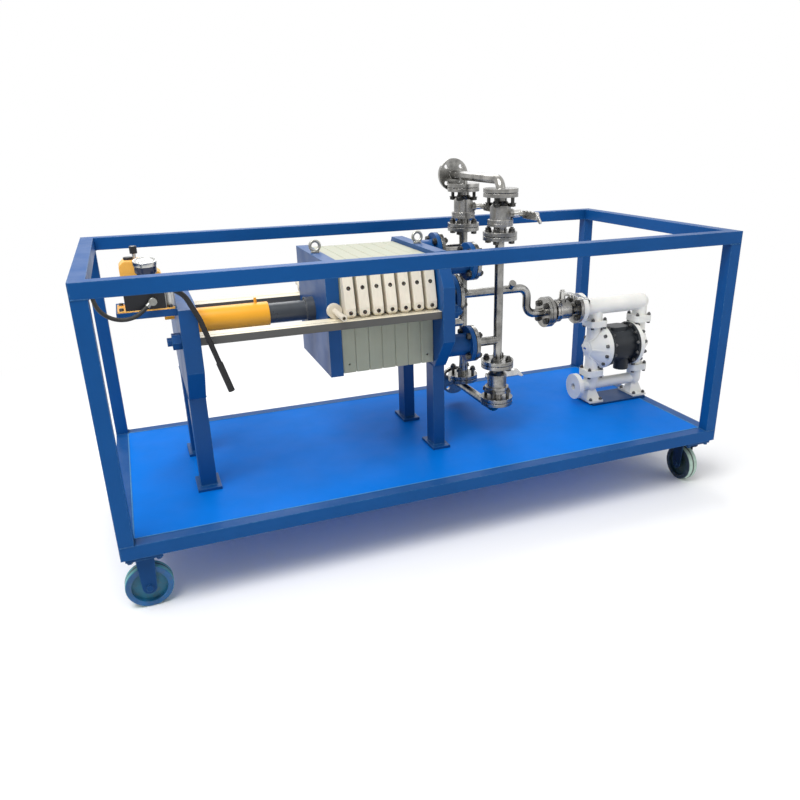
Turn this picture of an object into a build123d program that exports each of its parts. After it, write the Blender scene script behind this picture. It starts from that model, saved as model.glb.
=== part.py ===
from build123d import *
import math
import os

# Plate filter press with its feed pump, hand pump and pipework on a wheeled tube frame.
# X runs along the frame, the closing cylinder is at minus X and the feed pump at plus X.
# Y runs across it, the inlet side of the valves faces minus Y. Z is up from the floor.

# Driving dimensions of the wheeled frame
FRAME_WIDTH = 1105.0
FRAME_HEIGHT = 925.0
TUBE = 50.0
TUBE_WALL = 3.0
CASTER_HEIGHT = 220.0
DECK_THICKNESS = 5.0
BEARER_DEPTH = 40.0
BEARER_WIDTH = 60.0

# Driving dimensions of the casters
WHEEL_DIAMETER = 160.0
WHEEL_WIDTH = 46.0
WHEEL_HUB_DIAMETER = 42.0
WHEEL_WEB = 16.0
WHEEL_RIM_DIAMETER = 120.0
AXLE_DIAMETER = 14.0
AXLE_PLAY = 0.05
AXLE_HEAD_DIAMETER = 24.0
AXLE_HEAD_LENGTH = 8.0
FORK_THICKNESS = 5.0
FORK_GAP = 3.0
FORK_FOOT_WIDTH = 48.0
FORK_TOP_WIDTH = 62.0
CASTER_PLATE_LENGTH = 120.0
CASTER_PLATE_WIDTH = 104.0
CASTER_PLATE_THICKNESS = 16.0
CASTER_INSET = 12.0
SWIVEL_TRAIL = 42.0
SWIVEL_DIAMETER = 66.0
SWIVEL_RACE_HEIGHT = 14.0
SWIVEL_PLAY = 0.3

# Driving dimensions of the press
PRESS_AXIS_ABOVE_DECK = 604.0
END_SETBACK = 300.0
END_BEAM_THICKNESS = 60.0
BAR_LENGTH = 905.0
HEAD_THICKNESS = 50.0
BEAM_HALF_WIDTH = 330.0
BEAM_SIDE_DROP = 110.0
HEAD_SIDE_RISE = 105.0
HEAD_TOP_RISE = 232.0
END_SIDE_RISE = 114.0
END_TOP_RISE = 126.0
BEAM_TOP_HALF_WIDTH = 247.0
BEAM_BOTTOM_DROP = 234.0
BEAM_BOTTOM_HALF_WIDTH = 232.0
LEG_OUTER_HALF_WIDTH = 216.0
LEG_WIDTH = 75.0
FOOT_LENGTH = 130.0
FOOT_OVERHANG = 14.0
FOOT_THICKNESS = 12.0

# Driving dimensions of the side bars that carry the plates
BAR_HEIGHT = 28.0
BAR_WIDTH = 80.0
BAR_TOP_ABOVE_AXIS = 12.0
BAR_SIDE_GAP = 11.0
BAR_GROOVE = 3.0
BAR_GROOVE_INSET = 26.0
STUD_DIAMETER = 30.0
STUD_LENGTH = 46.0
NUT_WIDTH = 52.0
NUT_LENGTH = 30.0

# Driving dimensions of the filter plates
PLATE_COUNT = 7
PLATE_WIDTH = 450.0
PLATE_HEIGHT = 430.0
PLATE_THICKNESS = 54.4
PLATE_EDGE = 3.0
SLIDING_GAP = 0.3
LUG_WIDTH = 40.0
LUG_HEIGHT = 200.0
LUG_REACH = 58.0
LUG_TOP_REACH = 18.0
LUG_SIDE_HEIGHT = 38.0
LUG_CHAMFER = 12.0
LUG_FOOT_WIDTH = 20.0
LUG_FOOT_RISE = 13.0
LUG_HOLE = 9.0
LUG_HOLE_DEPTH = 14.0
LUG_LOW_HOLE = 22.0
LUG_HIGH_HOLE = 112.0
EDGE_HOLE = 8.0
EDGE_HOLE_DEPTH = 16.0
EDGE_HOLE_RISE = 34.0

# Driving dimensions of the follower and the closing cylinder
FOLLOWER_THICKNESS = 50.0
FOLLOWER_WIDTH = 462.0
FOLLOWER_HEIGHT = 446.0
BARREL_DIAMETER = 96.0
BARREL_FLANGE_DIAMETER = 130.0
BARREL_FLANGE_THICKNESS = 14.0
BARREL_SEAT = 40.0
REAR_BOSS_LENGTH = 34.0
REAR_BOSS_DIAMETER = 30.0
REAR_BOSS_RISE = 30.0
REAR_PORT_HEIGHT = 74.0
BLEEDER_SETBACK = 46.0
BLEEDER_DIAMETER = 11.0
BLEEDER_HEIGHT = 20.0
PLUNGER_DIAMETER = 80.0
PLUNGER_HIDDEN = 40.0
PLUNGER_SHOWN = 180.8
PLUNGER_PLAY = 0.3
PUSH_RING_DIAMETER = 104.0
PUSH_RING_THICKNESS = 34.0
EYE_RING_RADIUS = 19.0
EYE_WIRE_RADIUS = 6.0
EYE_COLLAR_RADIUS = 16.0
EYE_COLLAR_HEIGHT = 8.0
ROLLER_DIAMETER = 56.0
ROLLER_WIDTH = 22.0
GRIP_DIAMETER = 22.0
GRIP_LENGTH = 146.0
GRIP_BORE = 13.0
GRIP_BORE_DEPTH = 40.0

# Driving dimensions of the pipework
PIPE_DIAMETER = 38.0
PIPE_WALL = 3.0
BRANCH_DIAMETER = 36.0
ELBOW_RADIUS = 42.0
FLANGE_DIAMETER = 140.0
FLANGE_THICKNESS = 15.0
FLANGE_PCD = 100.0
FLANGE_HOLE = 18.0
GASKET = 3.0
VALVE_LENGTH = 165.0
VALVE_BODY_DIAMETER = 84.0
VALVE_NECK_DIAMETER = 52.0
VALVE_JOINT_DIAMETER = 104.0
VALVE_JOINT_THICKNESS = 11.0
VALVE_JOINT_SETBACK = 22.0
VALVE_SHOULDER = 34.0
VALVE_BOSS_DIAMETER = 40.0
VALVE_BOSS_REACH = 54.0
STEM_REACH = 88.0
LEVER_LENGTH = 150.0
LEVER_WIDTH = 20.0
LEVER_THICKNESS = 7.0
LEVER_HUB_DIAMETER = 30.0
LEVER_NUT_DIAMETER = 22.0
LEVER_NUT_HEIGHT = 8.0
SLEEVE_START = 42.0
SLEEVE_WIDTH = 30.0
SLEEVE_THICKNESS = 14.0
SLEEVE_SCALLOP = 16.0
LEVER_TIP_DROP = 22.0
LEVER_TIP_LENGTH = 30.0
RISER_SETBACK = 134.0
PORT_OFFSET_Y = 177.0
PORT_OFFSET_Z = 172.0
PORT_NECK_DIAMETER = 92.0
PORT_FLANGE_DIAMETER = 152.0
PORT_FLANGE_THICKNESS = 18.0
PORT_REACH = 134.0
FEED_NECK_DIAMETER = 110.0
FEED_FLANGE_DIAMETER = 186.0
TOP_VALVE_RISE = 350.0
ELBOW_STRAIGHT = 5.0
TOP_OUTLET_Y = 298.0
DRAIN_VALVE_DROP = 359.0
DRAIN_OUTLET_Y = 290.0
OUTLET_BORE_DEPTH = 80.0
FEED_DROP = 122.0
FEED_ELBOW_SETBACK = 237.0
FEED_VALVE_SETBACK = 189.0
PLUG_SETBACK = 92.0
PLUG_TILT = 45.0
PLUG_REACH = 50.0
PLUG_NECK_DIAMETER = 24.0
PLUG_DIAMETER = 32.0
PLUG_THICKNESS = 9.0

# Driving dimensions of the air driven feed pump
PUMP_DISCHARGE_LENGTH = 235.5
PUMP_INSET = 170.0
PUMP_BASE_LENGTH = 310.0
PUMP_BASE_WIDTH = 150.0
PUMP_BASE_THICKNESS = 10.0
PUMP_CHAMBER_DIAMETER = 212.0
PUMP_CHAMBER_RIM = 20.0
PUMP_CHAMBER_DEPTH = 84.0
PUMP_CHAMBER_CAP = 78.0
PUMP_CHAMBER_HALF_SPACING = 80.0
PUMP_RIB_COUNT = 6
PUMP_RIB_THICKNESS = 8.0
PUMP_RIB_RISE = 7.0
PUMP_NECK_OFFSET = 49.0
PUMP_NECK_RISE = 18.0
PUMP_AXIS_HEIGHT = 268.0
PUMP_CENTRE_DIAMETER = 168.0
PUMP_CENTRE_RIM_DIAMETER = 208.0
PUMP_CENTRE_RIM = 12.0
PUMP_LID_LENGTH = 104.0
PUMP_LID_WIDTH = 84.0
PUMP_LID_RISE = 96.0
PUMP_LID_ROUND = 30.0
PUMP_SILENCER_DIAMETER = 72.0
PUMP_SILENCER_DROP = 118.0
PUMP_SILENCER_X = 26.0
PUMP_SILENCER_Y = 24.0
PUMP_DISCHARGE_DIAMETER = 80.0
PUMP_TUBE_DIAMETER = 54.0
PUMP_NECK_DIAMETER = 70.0
PUMP_JOINT_LENGTH = 94.0
PUMP_JOINT_WIDTH = 96.0
PUMP_JOINT_THICKNESS = 15.0
PUMP_JOINT_ROUND = 20.0
PUMP_SUCTION_HEIGHT = 80.0
PUMP_SUCTION_REACH = 230.0
PUMP_FLANGE_DIAMETER = 124.0
PUMP_FLANGE_THICKNESS = 24.0
PUMP_FLANGE_BORE = 32.0
PUMP_FOOT_WIDTH = 128.0
PUMP_FOOT_LENGTH = 76.0
PUMP_FOOT_THICKNESS = 10.0
PUMP_FOOT_RISE = 60.0

# Driving dimensions of the hand pump at the cylinder end
BRACKET_LENGTH = 190.0
BRACKET_WIDTH = 170.0
BRACKET_THICKNESS = 12.0
BRACKET_LIP = 24.0
BRACKET_RISE = 118.0
BRACKET_Y = -303.0
HAND_BASE_LENGTH = 180.0
HAND_BASE_WIDTH = 120.0
HAND_BASE_THICKNESS = 5.0
HAND_HEAD_LENGTH = 128.0
HAND_HEAD_WIDTH = 62.0
HAND_HEAD_HEIGHT = 82.0
HAND_PISTON_DIAMETER = 32.0
HAND_PISTON_HEIGHT = 90.0
HAND_PISTON_OFFSET = 15.0
HAND_TANK_GAP = 8.0
HAND_TANK_LENGTH = 130.0
HAND_TANK_WIDTH = 84.0
HAND_TANK_HEIGHT = 150.0
HAND_TANK_ROUND = 10.0
HAND_TANK_SHOULDER = 16.0
HAND_TANK_DROP = 46.0
HAND_TANK_SLOPE = 60.0
TANK_CAP_DIAMETER = 30.0
TANK_CAP_HEIGHT = 9.0
TANK_VENT_DIAMETER = 12.0
TANK_VENT_HEIGHT = 44.0
TANK_VENT_COLLAR_DIAMETER = 24.0
TANK_VENT_COLLAR_HEIGHT = 24.0
TANK_VENT_SETBACK = 12.0
GAUGE_DIAMETER = 70.0
GAUGE_BEZEL_DIAMETER = 74.0
GAUGE_DEPTH = 26.0
GAUGE_BEZEL_DEPTH = 28.0
GAUGE_STEM_DIAMETER = 14.0
GAUGE_STEM_HEIGHT = 22.0
GAUGE_TILT = 42.0
GAUGE_SETBACK = 10.0
HANDLE_DIAMETER = 18.0
HANDLE_GRIP_DIAMETER = 23.0
HANDLE_GRIP_LENGTH = 110.0
HANDLE_RUNS = (54.0, 92.0, 275.0)
HANDLE_ANGLES = (36.0, 66.0, 74.0)
HANDLE_BEND = 70.0
HANDLE_HUB_DIAMETER = 28.0
HANDLE_HUB_WIDTH = 20.0
HANDLE_CLEARANCE = 8.0
HOSE_DIAMETER = 14.0
HOSE_FITTING_DIAMETER = 26.0
HOSE_FITTING_LENGTH = 26.0
HOSE_FERRULE_WALL = 2.0
HOSE_ARC_SHARE = 0.45

# Places worked out from the driving dimensions; the frame is as long as what stands in it
RUNS = (END_SETBACK, END_BEAM_THICKNESS, BAR_LENGTH, HEAD_THICKNESS, PORT_REACH, RISER_SETBACK,
        FEED_ELBOW_SETBACK, FEED_VALVE_SETBACK, VALVE_LENGTH / 2 + GASKET, PUMP_DISCHARGE_LENGTH, PUMP_INSET)
FRAME_LENGTH = sum(RUNS)
END_BEAM_X = END_SETBACK - FRAME_LENGTH / 2
HEAD_FACE_X = END_BEAM_X + END_BEAM_THICKNESS + BAR_LENGTH
DECK_TOP = CASTER_HEIGHT + TUBE
FRAME_TOP = CASTER_HEIGHT + FRAME_HEIGHT
PRESS_Z = DECK_TOP + PRESS_AXIS_ABOVE_DECK
BAR_TOP = PRESS_Z + BAR_TOP_ABOVE_AXIS
BAR_Y = PLATE_WIDTH / 2 + BAR_SIDE_GAP + BAR_WIDTH / 2
FOLLOWER_FACE_X = HEAD_FACE_X - PLATE_COUNT * PLATE_THICKNESS - (PLATE_COUNT + 1) * SLIDING_GAP
FOLLOWER_BACK_X = FOLLOWER_FACE_X - FOLLOWER_THICKNESS
END_BEAM_FACE_X = END_BEAM_X + END_BEAM_THICKNESS
BARREL_END_X = FOLLOWER_BACK_X - PLUNGER_SHOWN
HEAD_BACK_X = HEAD_FACE_X + HEAD_THICKNESS
PORT_FACE_X = HEAD_BACK_X + PORT_REACH
RISER_X = PORT_FACE_X + RISER_SETBACK
FEED_ELBOW_X = RISER_X + FEED_ELBOW_SETBACK
FEED_VALVE_X = FEED_ELBOW_X + FEED_VALVE_SETBACK
PUMP_X = FEED_VALVE_X + VALVE_LENGTH / 2 + GASKET + PUMP_DISCHARGE_LENGTH
PUMP_SUCTION_X = PUMP_X - PUMP_SUCTION_REACH
BRACKET_TOP = PRESS_Z + BRACKET_RISE
CUT = TUBE


def block(x0, x1, y0, y1, z0, z1):
    """A box between two corners."""
    centre = Pos((x0 + x1) / 2, (y0 + y1) / 2, (z0 + z1) / 2)
    return centre * Box(abs(x1 - x0), abs(y1 - y0), abs(z1 - z0))


def rod(axis, centre, length, diameter):
    """A round bar along X, Y or Z that starts at a point and runs the given length."""
    turns = {"X": Rot(0, 90, 0), "Y": Rot(-90, 0, 0), "Z": Rot(0, 0, 0)}
    bar = Cylinder(diameter / 2, length, align=(Align.CENTER, Align.CENTER, Align.MIN))
    return Pos(*centre) * turns[axis] * bar


def yz_plate(points, x0, thickness):
    """A plate of the given outline across X, from x0 towards plus X."""
    outline = Plane.YZ.offset(x0) * Polyline(*points, close=True)
    return extrude(make_face(outline), thickness, dir=(1, 0, 0))


def save(node, solids):
    """Write the solids of one node."""
    parts = solids if isinstance(solids, list) else [solids]
    flat = [solid for part in parts for solid in part.solids()]
    export_step(flat[0] if len(flat) == 1 else Compound(children=flat), f"parts/{node}.step")


def square_tube(axis, start, end, across):
    """A square tube along X, Y or Z; across holds its centre in the other two directions."""
    half = TUBE / 2
    bore = half - TUBE_WALL
    outer, inner = [], []
    others = iter(across)
    for name in "XYZ":
        if name == axis:
            outer += [start, end]
            inner += [start - CUT, end + CUT]
        else:
            middle = next(others)
            outer += [middle - half, middle + half]
            inner += [middle - bore, middle + bore]
    return block(*outer) - block(*inner)


def frame():
    half_l, half_w, half_t = FRAME_LENGTH / 2, FRAME_WIDTH / 2, TUBE / 2
    rail_y, post_x = half_w - half_t, half_l - half_t
    low, high = CASTER_HEIGHT + half_t, FRAME_TOP - half_t
    posts, longs, crosses, caps = [], [], [], []
    for sx in (-1, 1):
        for sy in (-1, 1):
            posts.append(square_tube("Z", DECK_TOP, FRAME_TOP - TUBE, (sx * post_x, sy * rail_y)))
    for z in (low, high):
        for sy in (-1, 1):
            longs.append(square_tube("X", TUBE_WALL - half_l, half_l - TUBE_WALL, (sy * rail_y, z)))
            for sx in (-1, 1):
                face = sx * half_l
                caps.append(block(face - sx * TUBE_WALL, face, sy * rail_y - half_t,
                                  sy * rail_y + half_t, z - half_t, z + half_t))
        for sx in (-1, 1):
            crosses.append(square_tube("Y", TUBE - half_w, half_w - TUBE, (sx * post_x, z)))
    save("corner_posts", posts)
    save("long_rails", longs)
    save("cross_rails", crosses)
    save("rail_caps", caps)
    inner_x, inner_y = half_l - TUBE, half_w - TUBE
    save("deck", block(-inner_x, inner_x, -inner_y, inner_y, DECK_TOP - DECK_THICKNESS, DECK_TOP))
    under = DECK_TOP - DECK_THICKNESS
    places = (END_BEAM_X + END_BEAM_THICKNESS / 2, HEAD_FACE_X + HEAD_THICKNESS / 2, PUMP_X)
    save("deck_bearers", [block(x - BEARER_WIDTH / 2, x + BEARER_WIDTH / 2, -inner_y, inner_y,
                                under - BEARER_DEPTH, under) for x in places])


def caster_wheel(centre):
    """A wheel on the Y axis with a thin web, a hub and a bore for the axle."""
    half = WHEEL_WIDTH / 2
    wheel = rod("Y", (0, -half, 0), WHEEL_WIDTH, WHEEL_DIAMETER)
    wheel = fillet(wheel.edges().filter_by(GeomType.CIRCLE), WHEEL_WIDTH / 8)
    recess = (WHEEL_WIDTH - WHEEL_WEB) / 2
    for side in (-half, half - recess):
        ring = rod("Y", (0, side, 0), recess, WHEEL_RIM_DIAMETER)
        wheel -= ring - rod("Y", (0, side, 0), recess, WHEEL_HUB_DIAMETER)
    wheel -= rod("Y", (0, -half, 0), WHEEL_WIDTH, AXLE_DIAMETER + 2 * AXLE_PLAY)
    return Pos(*centre) * wheel


def fork(crown_z):
    """Two fork legs, their crown and the axle, with the axle along Y through the origin."""
    inner = WHEEL_WIDTH / 2 + FORK_GAP
    outer = inner + FORK_THICKNESS
    foot, top = FORK_FOOT_WIDTH / 2, FORK_TOP_WIDTH / 2
    shape = block(-top, top, -outer, outer, crown_z - FORK_THICKNESS, crown_z)
    for side in (-1, 1):
        points = [(-top, crown_z), (top, crown_z), (foot, 0), (-foot, 0)]
        face = make_face(Plane.XZ * Polyline(*points, close=True)) + Plane.XZ * Circle(foot)
        start = inner if side > 0 else -outer
        shape += Pos(0, start, 0) * extrude(face, FORK_THICKNESS, dir=(0, 1, 0))
        head = rod("Y", (0, min(side * outer, side * (outer + AXLE_HEAD_LENGTH)), 0),
                   AXLE_HEAD_LENGTH, AXLE_HEAD_DIAMETER)
        shape += head
    return shape + rod("Y", (0, -outer, 0), 2 * outer, AXLE_DIAMETER)


def casters():
    axle_z = WHEEL_DIAMETER / 2
    plate_low = CASTER_HEIGHT - CASTER_PLATE_THICKNESS
    x = FRAME_LENGTH / 2 - CASTER_INSET - CASTER_PLATE_LENGTH / 2
    y = FRAME_WIDTH / 2 - CASTER_INSET - CASTER_PLATE_WIDTH / 2
    half_l, half_w = CASTER_PLATE_LENGTH / 2, CASTER_PLATE_WIDTH / 2
    rigid, plates = [], []
    for side, name in ((-1, "front"), (1, "back")):
        plate = block(-x - half_l, half_l - x, side * y - half_w, side * y + half_w,
                      plate_low, CASTER_HEIGHT)
        rigid.append(plate + Pos(-x, side * y, axle_z) * fork(plate_low - axle_z))
        save(f"rigid_wheel_{name}", caster_wheel((-x, side * y, axle_z)))
        plate = block(x - half_l, x + half_l, side * y - half_w, side * y + half_w,
                      plate_low, CASTER_HEIGHT)
        plates.append(plate)
        crown = plate_low - SWIVEL_PLAY - SWIVEL_RACE_HEIGHT
        trail = -side * SWIVEL_TRAIL
        turned = Pos(x, side * y + trail, axle_z) * Rot(0, 0, 90) * fork(crown - axle_z)
        race = rod("Z", (x, side * y, crown - FORK_THICKNESS), SWIVEL_RACE_HEIGHT + FORK_THICKNESS,
                   SWIVEL_DIAMETER)
        save(f"swivel_fork_{name}", turned + race)
        wheel = Pos(x, side * y + trail, axle_z) * Rot(0, 0, 90) * caster_wheel((0, 0, 0))
        save(f"swivel_wheel_{name}", wheel)
    save("rigid_casters", rigid)
    save("swivel_plates", plates)


def beam_points(side_rise, top_rise):
    """The outline of the end beam or the fixed head in Y and Z, for its rises above the press axis."""
    right = [(BEAM_TOP_HALF_WIDTH, PRESS_Z + top_rise), (BEAM_HALF_WIDTH, PRESS_Z + side_rise),
             (BEAM_HALF_WIDTH, PRESS_Z - BEAM_SIDE_DROP),
             (BEAM_BOTTOM_HALF_WIDTH, PRESS_Z - BEAM_BOTTOM_DROP)]
    return right + [(-y, z) for y, z in reversed(right)]


def leg(x0, x1, side):
    """One leg with its foot plate, under the beam that spans x0 to x1."""
    outer = side * LEG_OUTER_HALF_WIDTH
    inner = outer - side * LEG_WIDTH
    post = block(x0, x1, min(outer, inner), max(outer, inner), DECK_TOP + FOOT_THICKNESS,
                 PRESS_Z - BEAM_BOTTOM_DROP)
    middle = (outer + inner) / 2
    foot = block(x0 - FOOT_OVERHANG, x1 + FOOT_OVERHANG, middle - FOOT_LENGTH / 2,
                 middle + FOOT_LENGTH / 2, DECK_TOP, DECK_TOP + FOOT_THICKNESS)
    return post + foot


def eye_bolt(x, z):
    """An eye bolt that stands on a face, with its ring across X."""
    centre = z + EYE_COLLAR_HEIGHT + EYE_RING_RADIUS
    ring = Pos(x, 0, centre) * Rot(90, 0, 0) * Torus(EYE_RING_RADIUS, EYE_WIRE_RADIUS)
    collar = rod("Z", (x, 0, z), EYE_COLLAR_HEIGHT, 2 * EYE_COLLAR_RADIUS)
    return ring + collar


def press_ends():
    seat = rod("X", (END_BEAM_FACE_X - BARREL_SEAT, 0, PRESS_Z), BARREL_SEAT, BARREL_DIAMETER)
    seat += rod("X", (END_BEAM_X, 0, PRESS_Z + REAR_BOSS_RISE), END_BEAM_THICKNESS - BARREL_SEAT,
                REAR_BOSS_DIAMETER)
    beam = yz_plate(beam_points(END_SIDE_RISE, END_TOP_RISE), END_BEAM_X, END_BEAM_THICKNESS)
    save("end_beam", beam - seat)
    save("end_legs", [leg(END_BEAM_X, END_BEAM_FACE_X, side) for side in (-1, 1)])
    save("fixed_head", yz_plate(beam_points(HEAD_SIDE_RISE, HEAD_TOP_RISE), HEAD_FACE_X, HEAD_THICKNESS))
    save("head_legs", [leg(HEAD_FACE_X, HEAD_BACK_X, side) for side in (-1, 1)])
    save("head_eye", eye_bolt(HEAD_FACE_X + HEAD_THICKNESS / 2, PRESS_Z + HEAD_TOP_RISE))


def hex_nut(x0, y, z):
    across = RegularPolygon(NUT_WIDTH / 2, 6, major_radius=False)
    return Pos(0, y, z) * extrude(Plane.YZ.offset(x0) * across, NUT_LENGTH)


def side_bars():
    bars, nuts = [], []
    z = BAR_TOP - BAR_HEIGHT / 2
    for side in (-1, 1):
        y = side * BAR_Y
        groove = side * (BAR_Y + BAR_WIDTH / 2 - BAR_GROOVE_INSET)
        bars.append(block(END_BEAM_FACE_X, HEAD_FACE_X, y - BAR_WIDTH / 2, y + BAR_WIDTH / 2,
                          BAR_TOP - BAR_HEIGHT, BAR_TOP)
                    - block(END_BEAM_FACE_X, HEAD_FACE_X, groove - BAR_GROOVE / 2, groove + BAR_GROOVE / 2,
                            BAR_TOP - BAR_GROOVE / 2, BAR_TOP))
        nuts.append(hex_nut(END_BEAM_X - NUT_LENGTH, y, z)
                    + rod("X", (END_BEAM_X - STUD_LENGTH, y, z), STUD_LENGTH, STUD_DIAMETER))
        nuts.append(hex_nut(HEAD_BACK_X, y, z)
                    + rod("X", (HEAD_BACK_X, y, z), STUD_LENGTH, STUD_DIAMETER))
    save("side_bars", bars)
    save("bar_nuts", nuts)


def cylinder():
    start = END_BEAM_FACE_X - BARREL_SEAT
    barrel = rod("X", (start, 0, PRESS_Z), BARREL_END_X - start, BARREL_DIAMETER)
    barrel += rod("X", (END_BEAM_FACE_X, 0, PRESS_Z), BARREL_FLANGE_THICKNESS, BARREL_FLANGE_DIAMETER)
    hollow = PLUNGER_DIAMETER + 2 * PLUNGER_PLAY
    barrel -= rod("X", (END_BEAM_FACE_X, 0, PRESS_Z), BARREL_END_X - END_BEAM_FACE_X + CUT, hollow)
    bleeder_x = BARREL_END_X - BLEEDER_SETBACK
    bleeder_z = PRESS_Z + (BARREL_DIAMETER + hollow) / 4
    barrel += rod("Z", (bleeder_x, 0, bleeder_z), BARREL_DIAMETER / 2 + PRESS_Z + BLEEDER_HEIGHT - bleeder_z,
                  BLEEDER_DIAMETER)
    rear = END_BEAM_X - REAR_BOSS_LENGTH
    boss_z = PRESS_Z + REAR_BOSS_RISE
    barrel += rod("X", (rear, 0, boss_z), start - rear, REAR_BOSS_DIAMETER)
    barrel += rod("Z", (rear + REAR_BOSS_LENGTH / 2, 0, boss_z), REAR_PORT_HEIGHT - REAR_BOSS_RISE,
                  HOSE_FITTING_DIAMETER)
    save("cylinder_barrel", barrel)
    ring_x = FOLLOWER_BACK_X - PUSH_RING_THICKNESS
    start = BARREL_END_X - PLUNGER_HIDDEN
    plunger = rod("X", (start, 0, PRESS_Z), FOLLOWER_BACK_X - start, PLUNGER_DIAMETER)
    plunger += rod("X", (ring_x, 0, PRESS_Z), PUSH_RING_THICKNESS, PUSH_RING_DIAMETER)
    save("plunger", plunger)


def follower():
    half_w, half_h = FOLLOWER_WIDTH / 2, FOLLOWER_HEIGHT / 2
    plate = block(FOLLOWER_BACK_X, FOLLOWER_FACE_X, -half_w, half_w, PRESS_Z - half_h, PRESS_Z + half_h)
    save("follower_plate", plate)
    x = (FOLLOWER_BACK_X + FOLLOWER_FACE_X) / 2
    save("follower_eye", eye_bolt(x, PRESS_Z + half_h))
    z = BAR_TOP + SLIDING_GAP + ROLLER_DIAMETER / 2
    rollers = []
    for side in (-1, 1):
        turn = Pos(x, side * half_w, z) * Rot(-90 * side, 0, 0)
        upright = (Align.CENTER, Align.CENTER, Align.MIN)
        grip = Cylinder(GRIP_DIAMETER / 2, GRIP_LENGTH, align=upright)
        grip += Cylinder(ROLLER_DIAMETER / 2, ROLLER_WIDTH, align=upright)
        bore = Cylinder(GRIP_BORE / 2, GRIP_BORE_DEPTH, align=upright)
        grip -= Pos(0, 0, GRIP_LENGTH - GRIP_BORE_DEPTH) * bore
        rollers.append(turn * grip)
    save("follower_rollers", rollers)


def lug(x, side):
    """One side lug of a plate: a tapered block with two holes that rests on the side bar."""
    base = BAR_TOP + SLIDING_GAP
    face, top, half = PLATE_WIDTH / 2, BAR_TOP + SLIDING_GAP + LUG_HEIGHT, LUG_WIDTH / 2
    points = [(face, base), (face + LUG_REACH - LUG_CHAMFER, base), (face + LUG_REACH, base + LUG_CHAMFER),
              (face + LUG_REACH, base + LUG_SIDE_HEIGHT), (face + LUG_TOP_REACH, top), (face, top)]
    shape = yz_plate([(side * y, z) for y, z in points], x - half, LUG_WIDTH)
    foot = LUG_FOOT_WIDTH / 2
    front = [(x - foot, base), (x - half, base + LUG_FOOT_RISE), (x - half, top), (x + half, top),
             (x + half, base + LUG_FOOT_RISE), (x + foot, base)]
    shape &= extrude(make_face(Plane.XZ * Polyline(*front, close=True)), face + LUG_REACH, both=True)
    for rise in (LUG_LOW_HOLE, LUG_HIGH_HOLE):
        lean = max(0, rise - LUG_SIDE_HEIGHT) / (LUG_HEIGHT - LUG_SIDE_HEIGHT)
        depth = face + LUG_REACH - lean * (LUG_REACH - LUG_TOP_REACH) - LUG_HOLE_DEPTH
        shape -= rod("Y", (x, min(side * depth, side * (depth + CUT)), base + rise), CUT, LUG_HOLE)
    return shape


def filter_plates():
    half_w, half_h = PLATE_WIDTH / 2, PLATE_HEIGHT / 2
    for index in range(PLATE_COUNT):
        x1 = HEAD_FACE_X - SLIDING_GAP - index * (PLATE_THICKNESS + SLIDING_GAP)
        x0 = x1 - PLATE_THICKNESS
        plate = block(x0, x1, -half_w, half_w, PRESS_Z - half_h, PRESS_Z + half_h)
        plate = chamfer(plate.edges().filter_by(Axis.X, reverse=True), PLATE_EDGE)
        middle = (x0 + x1) / 2
        for side in (-1, 1):
            plate += lug(middle, side)
            if index in (0, PLATE_COUNT - 1):
                start = min(side * half_w, side * (half_w - EDGE_HOLE_DEPTH))
                place = (middle, start, PRESS_Z - half_h + EDGE_HOLE_RISE)
                plate -= rod("Y", place, EDGE_HOLE_DEPTH, EDGE_HOLE)
        save(f"filter_plate_{index + 1}", plate)


def flange(axis, centre, diameter=FLANGE_DIAMETER, thickness=FLANGE_THICKNESS):
    return rod(axis, centre, thickness, diameter)


def ports():
    """The blue necks and flanges on the back of the fixed head."""
    stubs = []
    for sy in (-1, 1):
        for sz in (-1, 1):
            y, z = sy * PORT_OFFSET_Y, PRESS_Z + sz * PORT_OFFSET_Z
            neck = rod("X", (HEAD_BACK_X, y, z), PORT_REACH, PORT_NECK_DIAMETER)
            stubs.append(neck + flange("X", (PORT_FACE_X - PORT_FLANGE_THICKNESS, y, z),
                                       PORT_FLANGE_DIAMETER, PORT_FLANGE_THICKNESS))
    neck = rod("X", (HEAD_BACK_X, 0, PRESS_Z), PORT_REACH, FEED_NECK_DIAMETER)
    stubs.append(neck + flange("X", (PORT_FACE_X - PORT_FLANGE_THICKNESS, 0, PRESS_Z),
                               FEED_FLANGE_DIAMETER, PORT_FLANGE_THICKNESS))
    save("head_ports", stubs)


def pipe(points, radius=ELBOW_RADIUS):
    """A pipe of the common diameter along straight runs joined by elbows, filled."""
    if len(points) == 2:
        path = Line(*points)
    else:
        path = FilletPolyline(*points, radius=radius)
    section = Plane(origin=path @ 0, z_dir=path % 0) * Circle(PIPE_DIAMETER / 2)
    return sweep(section, path=path)


def riser_branches(y):
    """The two short pipes and mating flanges that tie a riser to the head's ports."""
    shape = None
    for sz in (-1, 1):
        z = PRESS_Z + sz * PORT_OFFSET_Z
        x = PORT_FACE_X + GASKET
        part = flange("X", (x, y, z), PORT_FLANGE_DIAMETER)
        part += rod("X", (x, y, z), RISER_X - x, PIPE_DIAMETER)
        shape = part if shape is None else shape + part
    return shape


def risers():
    top = PRESS_Z + TOP_VALVE_RISE - VALVE_LENGTH / 2 - GASKET
    near_low = PRESS_Z - DRAIN_VALVE_DROP + VALVE_LENGTH / 2 + GASKET
    far_low = near_low - VALVE_LENGTH - GASKET
    for name, y, low in (("near_riser", -PORT_OFFSET_Y, near_low), ("far_riser", PORT_OFFSET_Y, far_low)):
        shape = rod("Z", (RISER_X, y, low), top - low, PIPE_DIAMETER) + riser_branches(y)
        shape += flange("Z", (RISER_X, y, top - FLANGE_THICKNESS)) + flange("Z", (RISER_X, y, low))
        save(name, shape)
    return top, near_low, far_low


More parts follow.
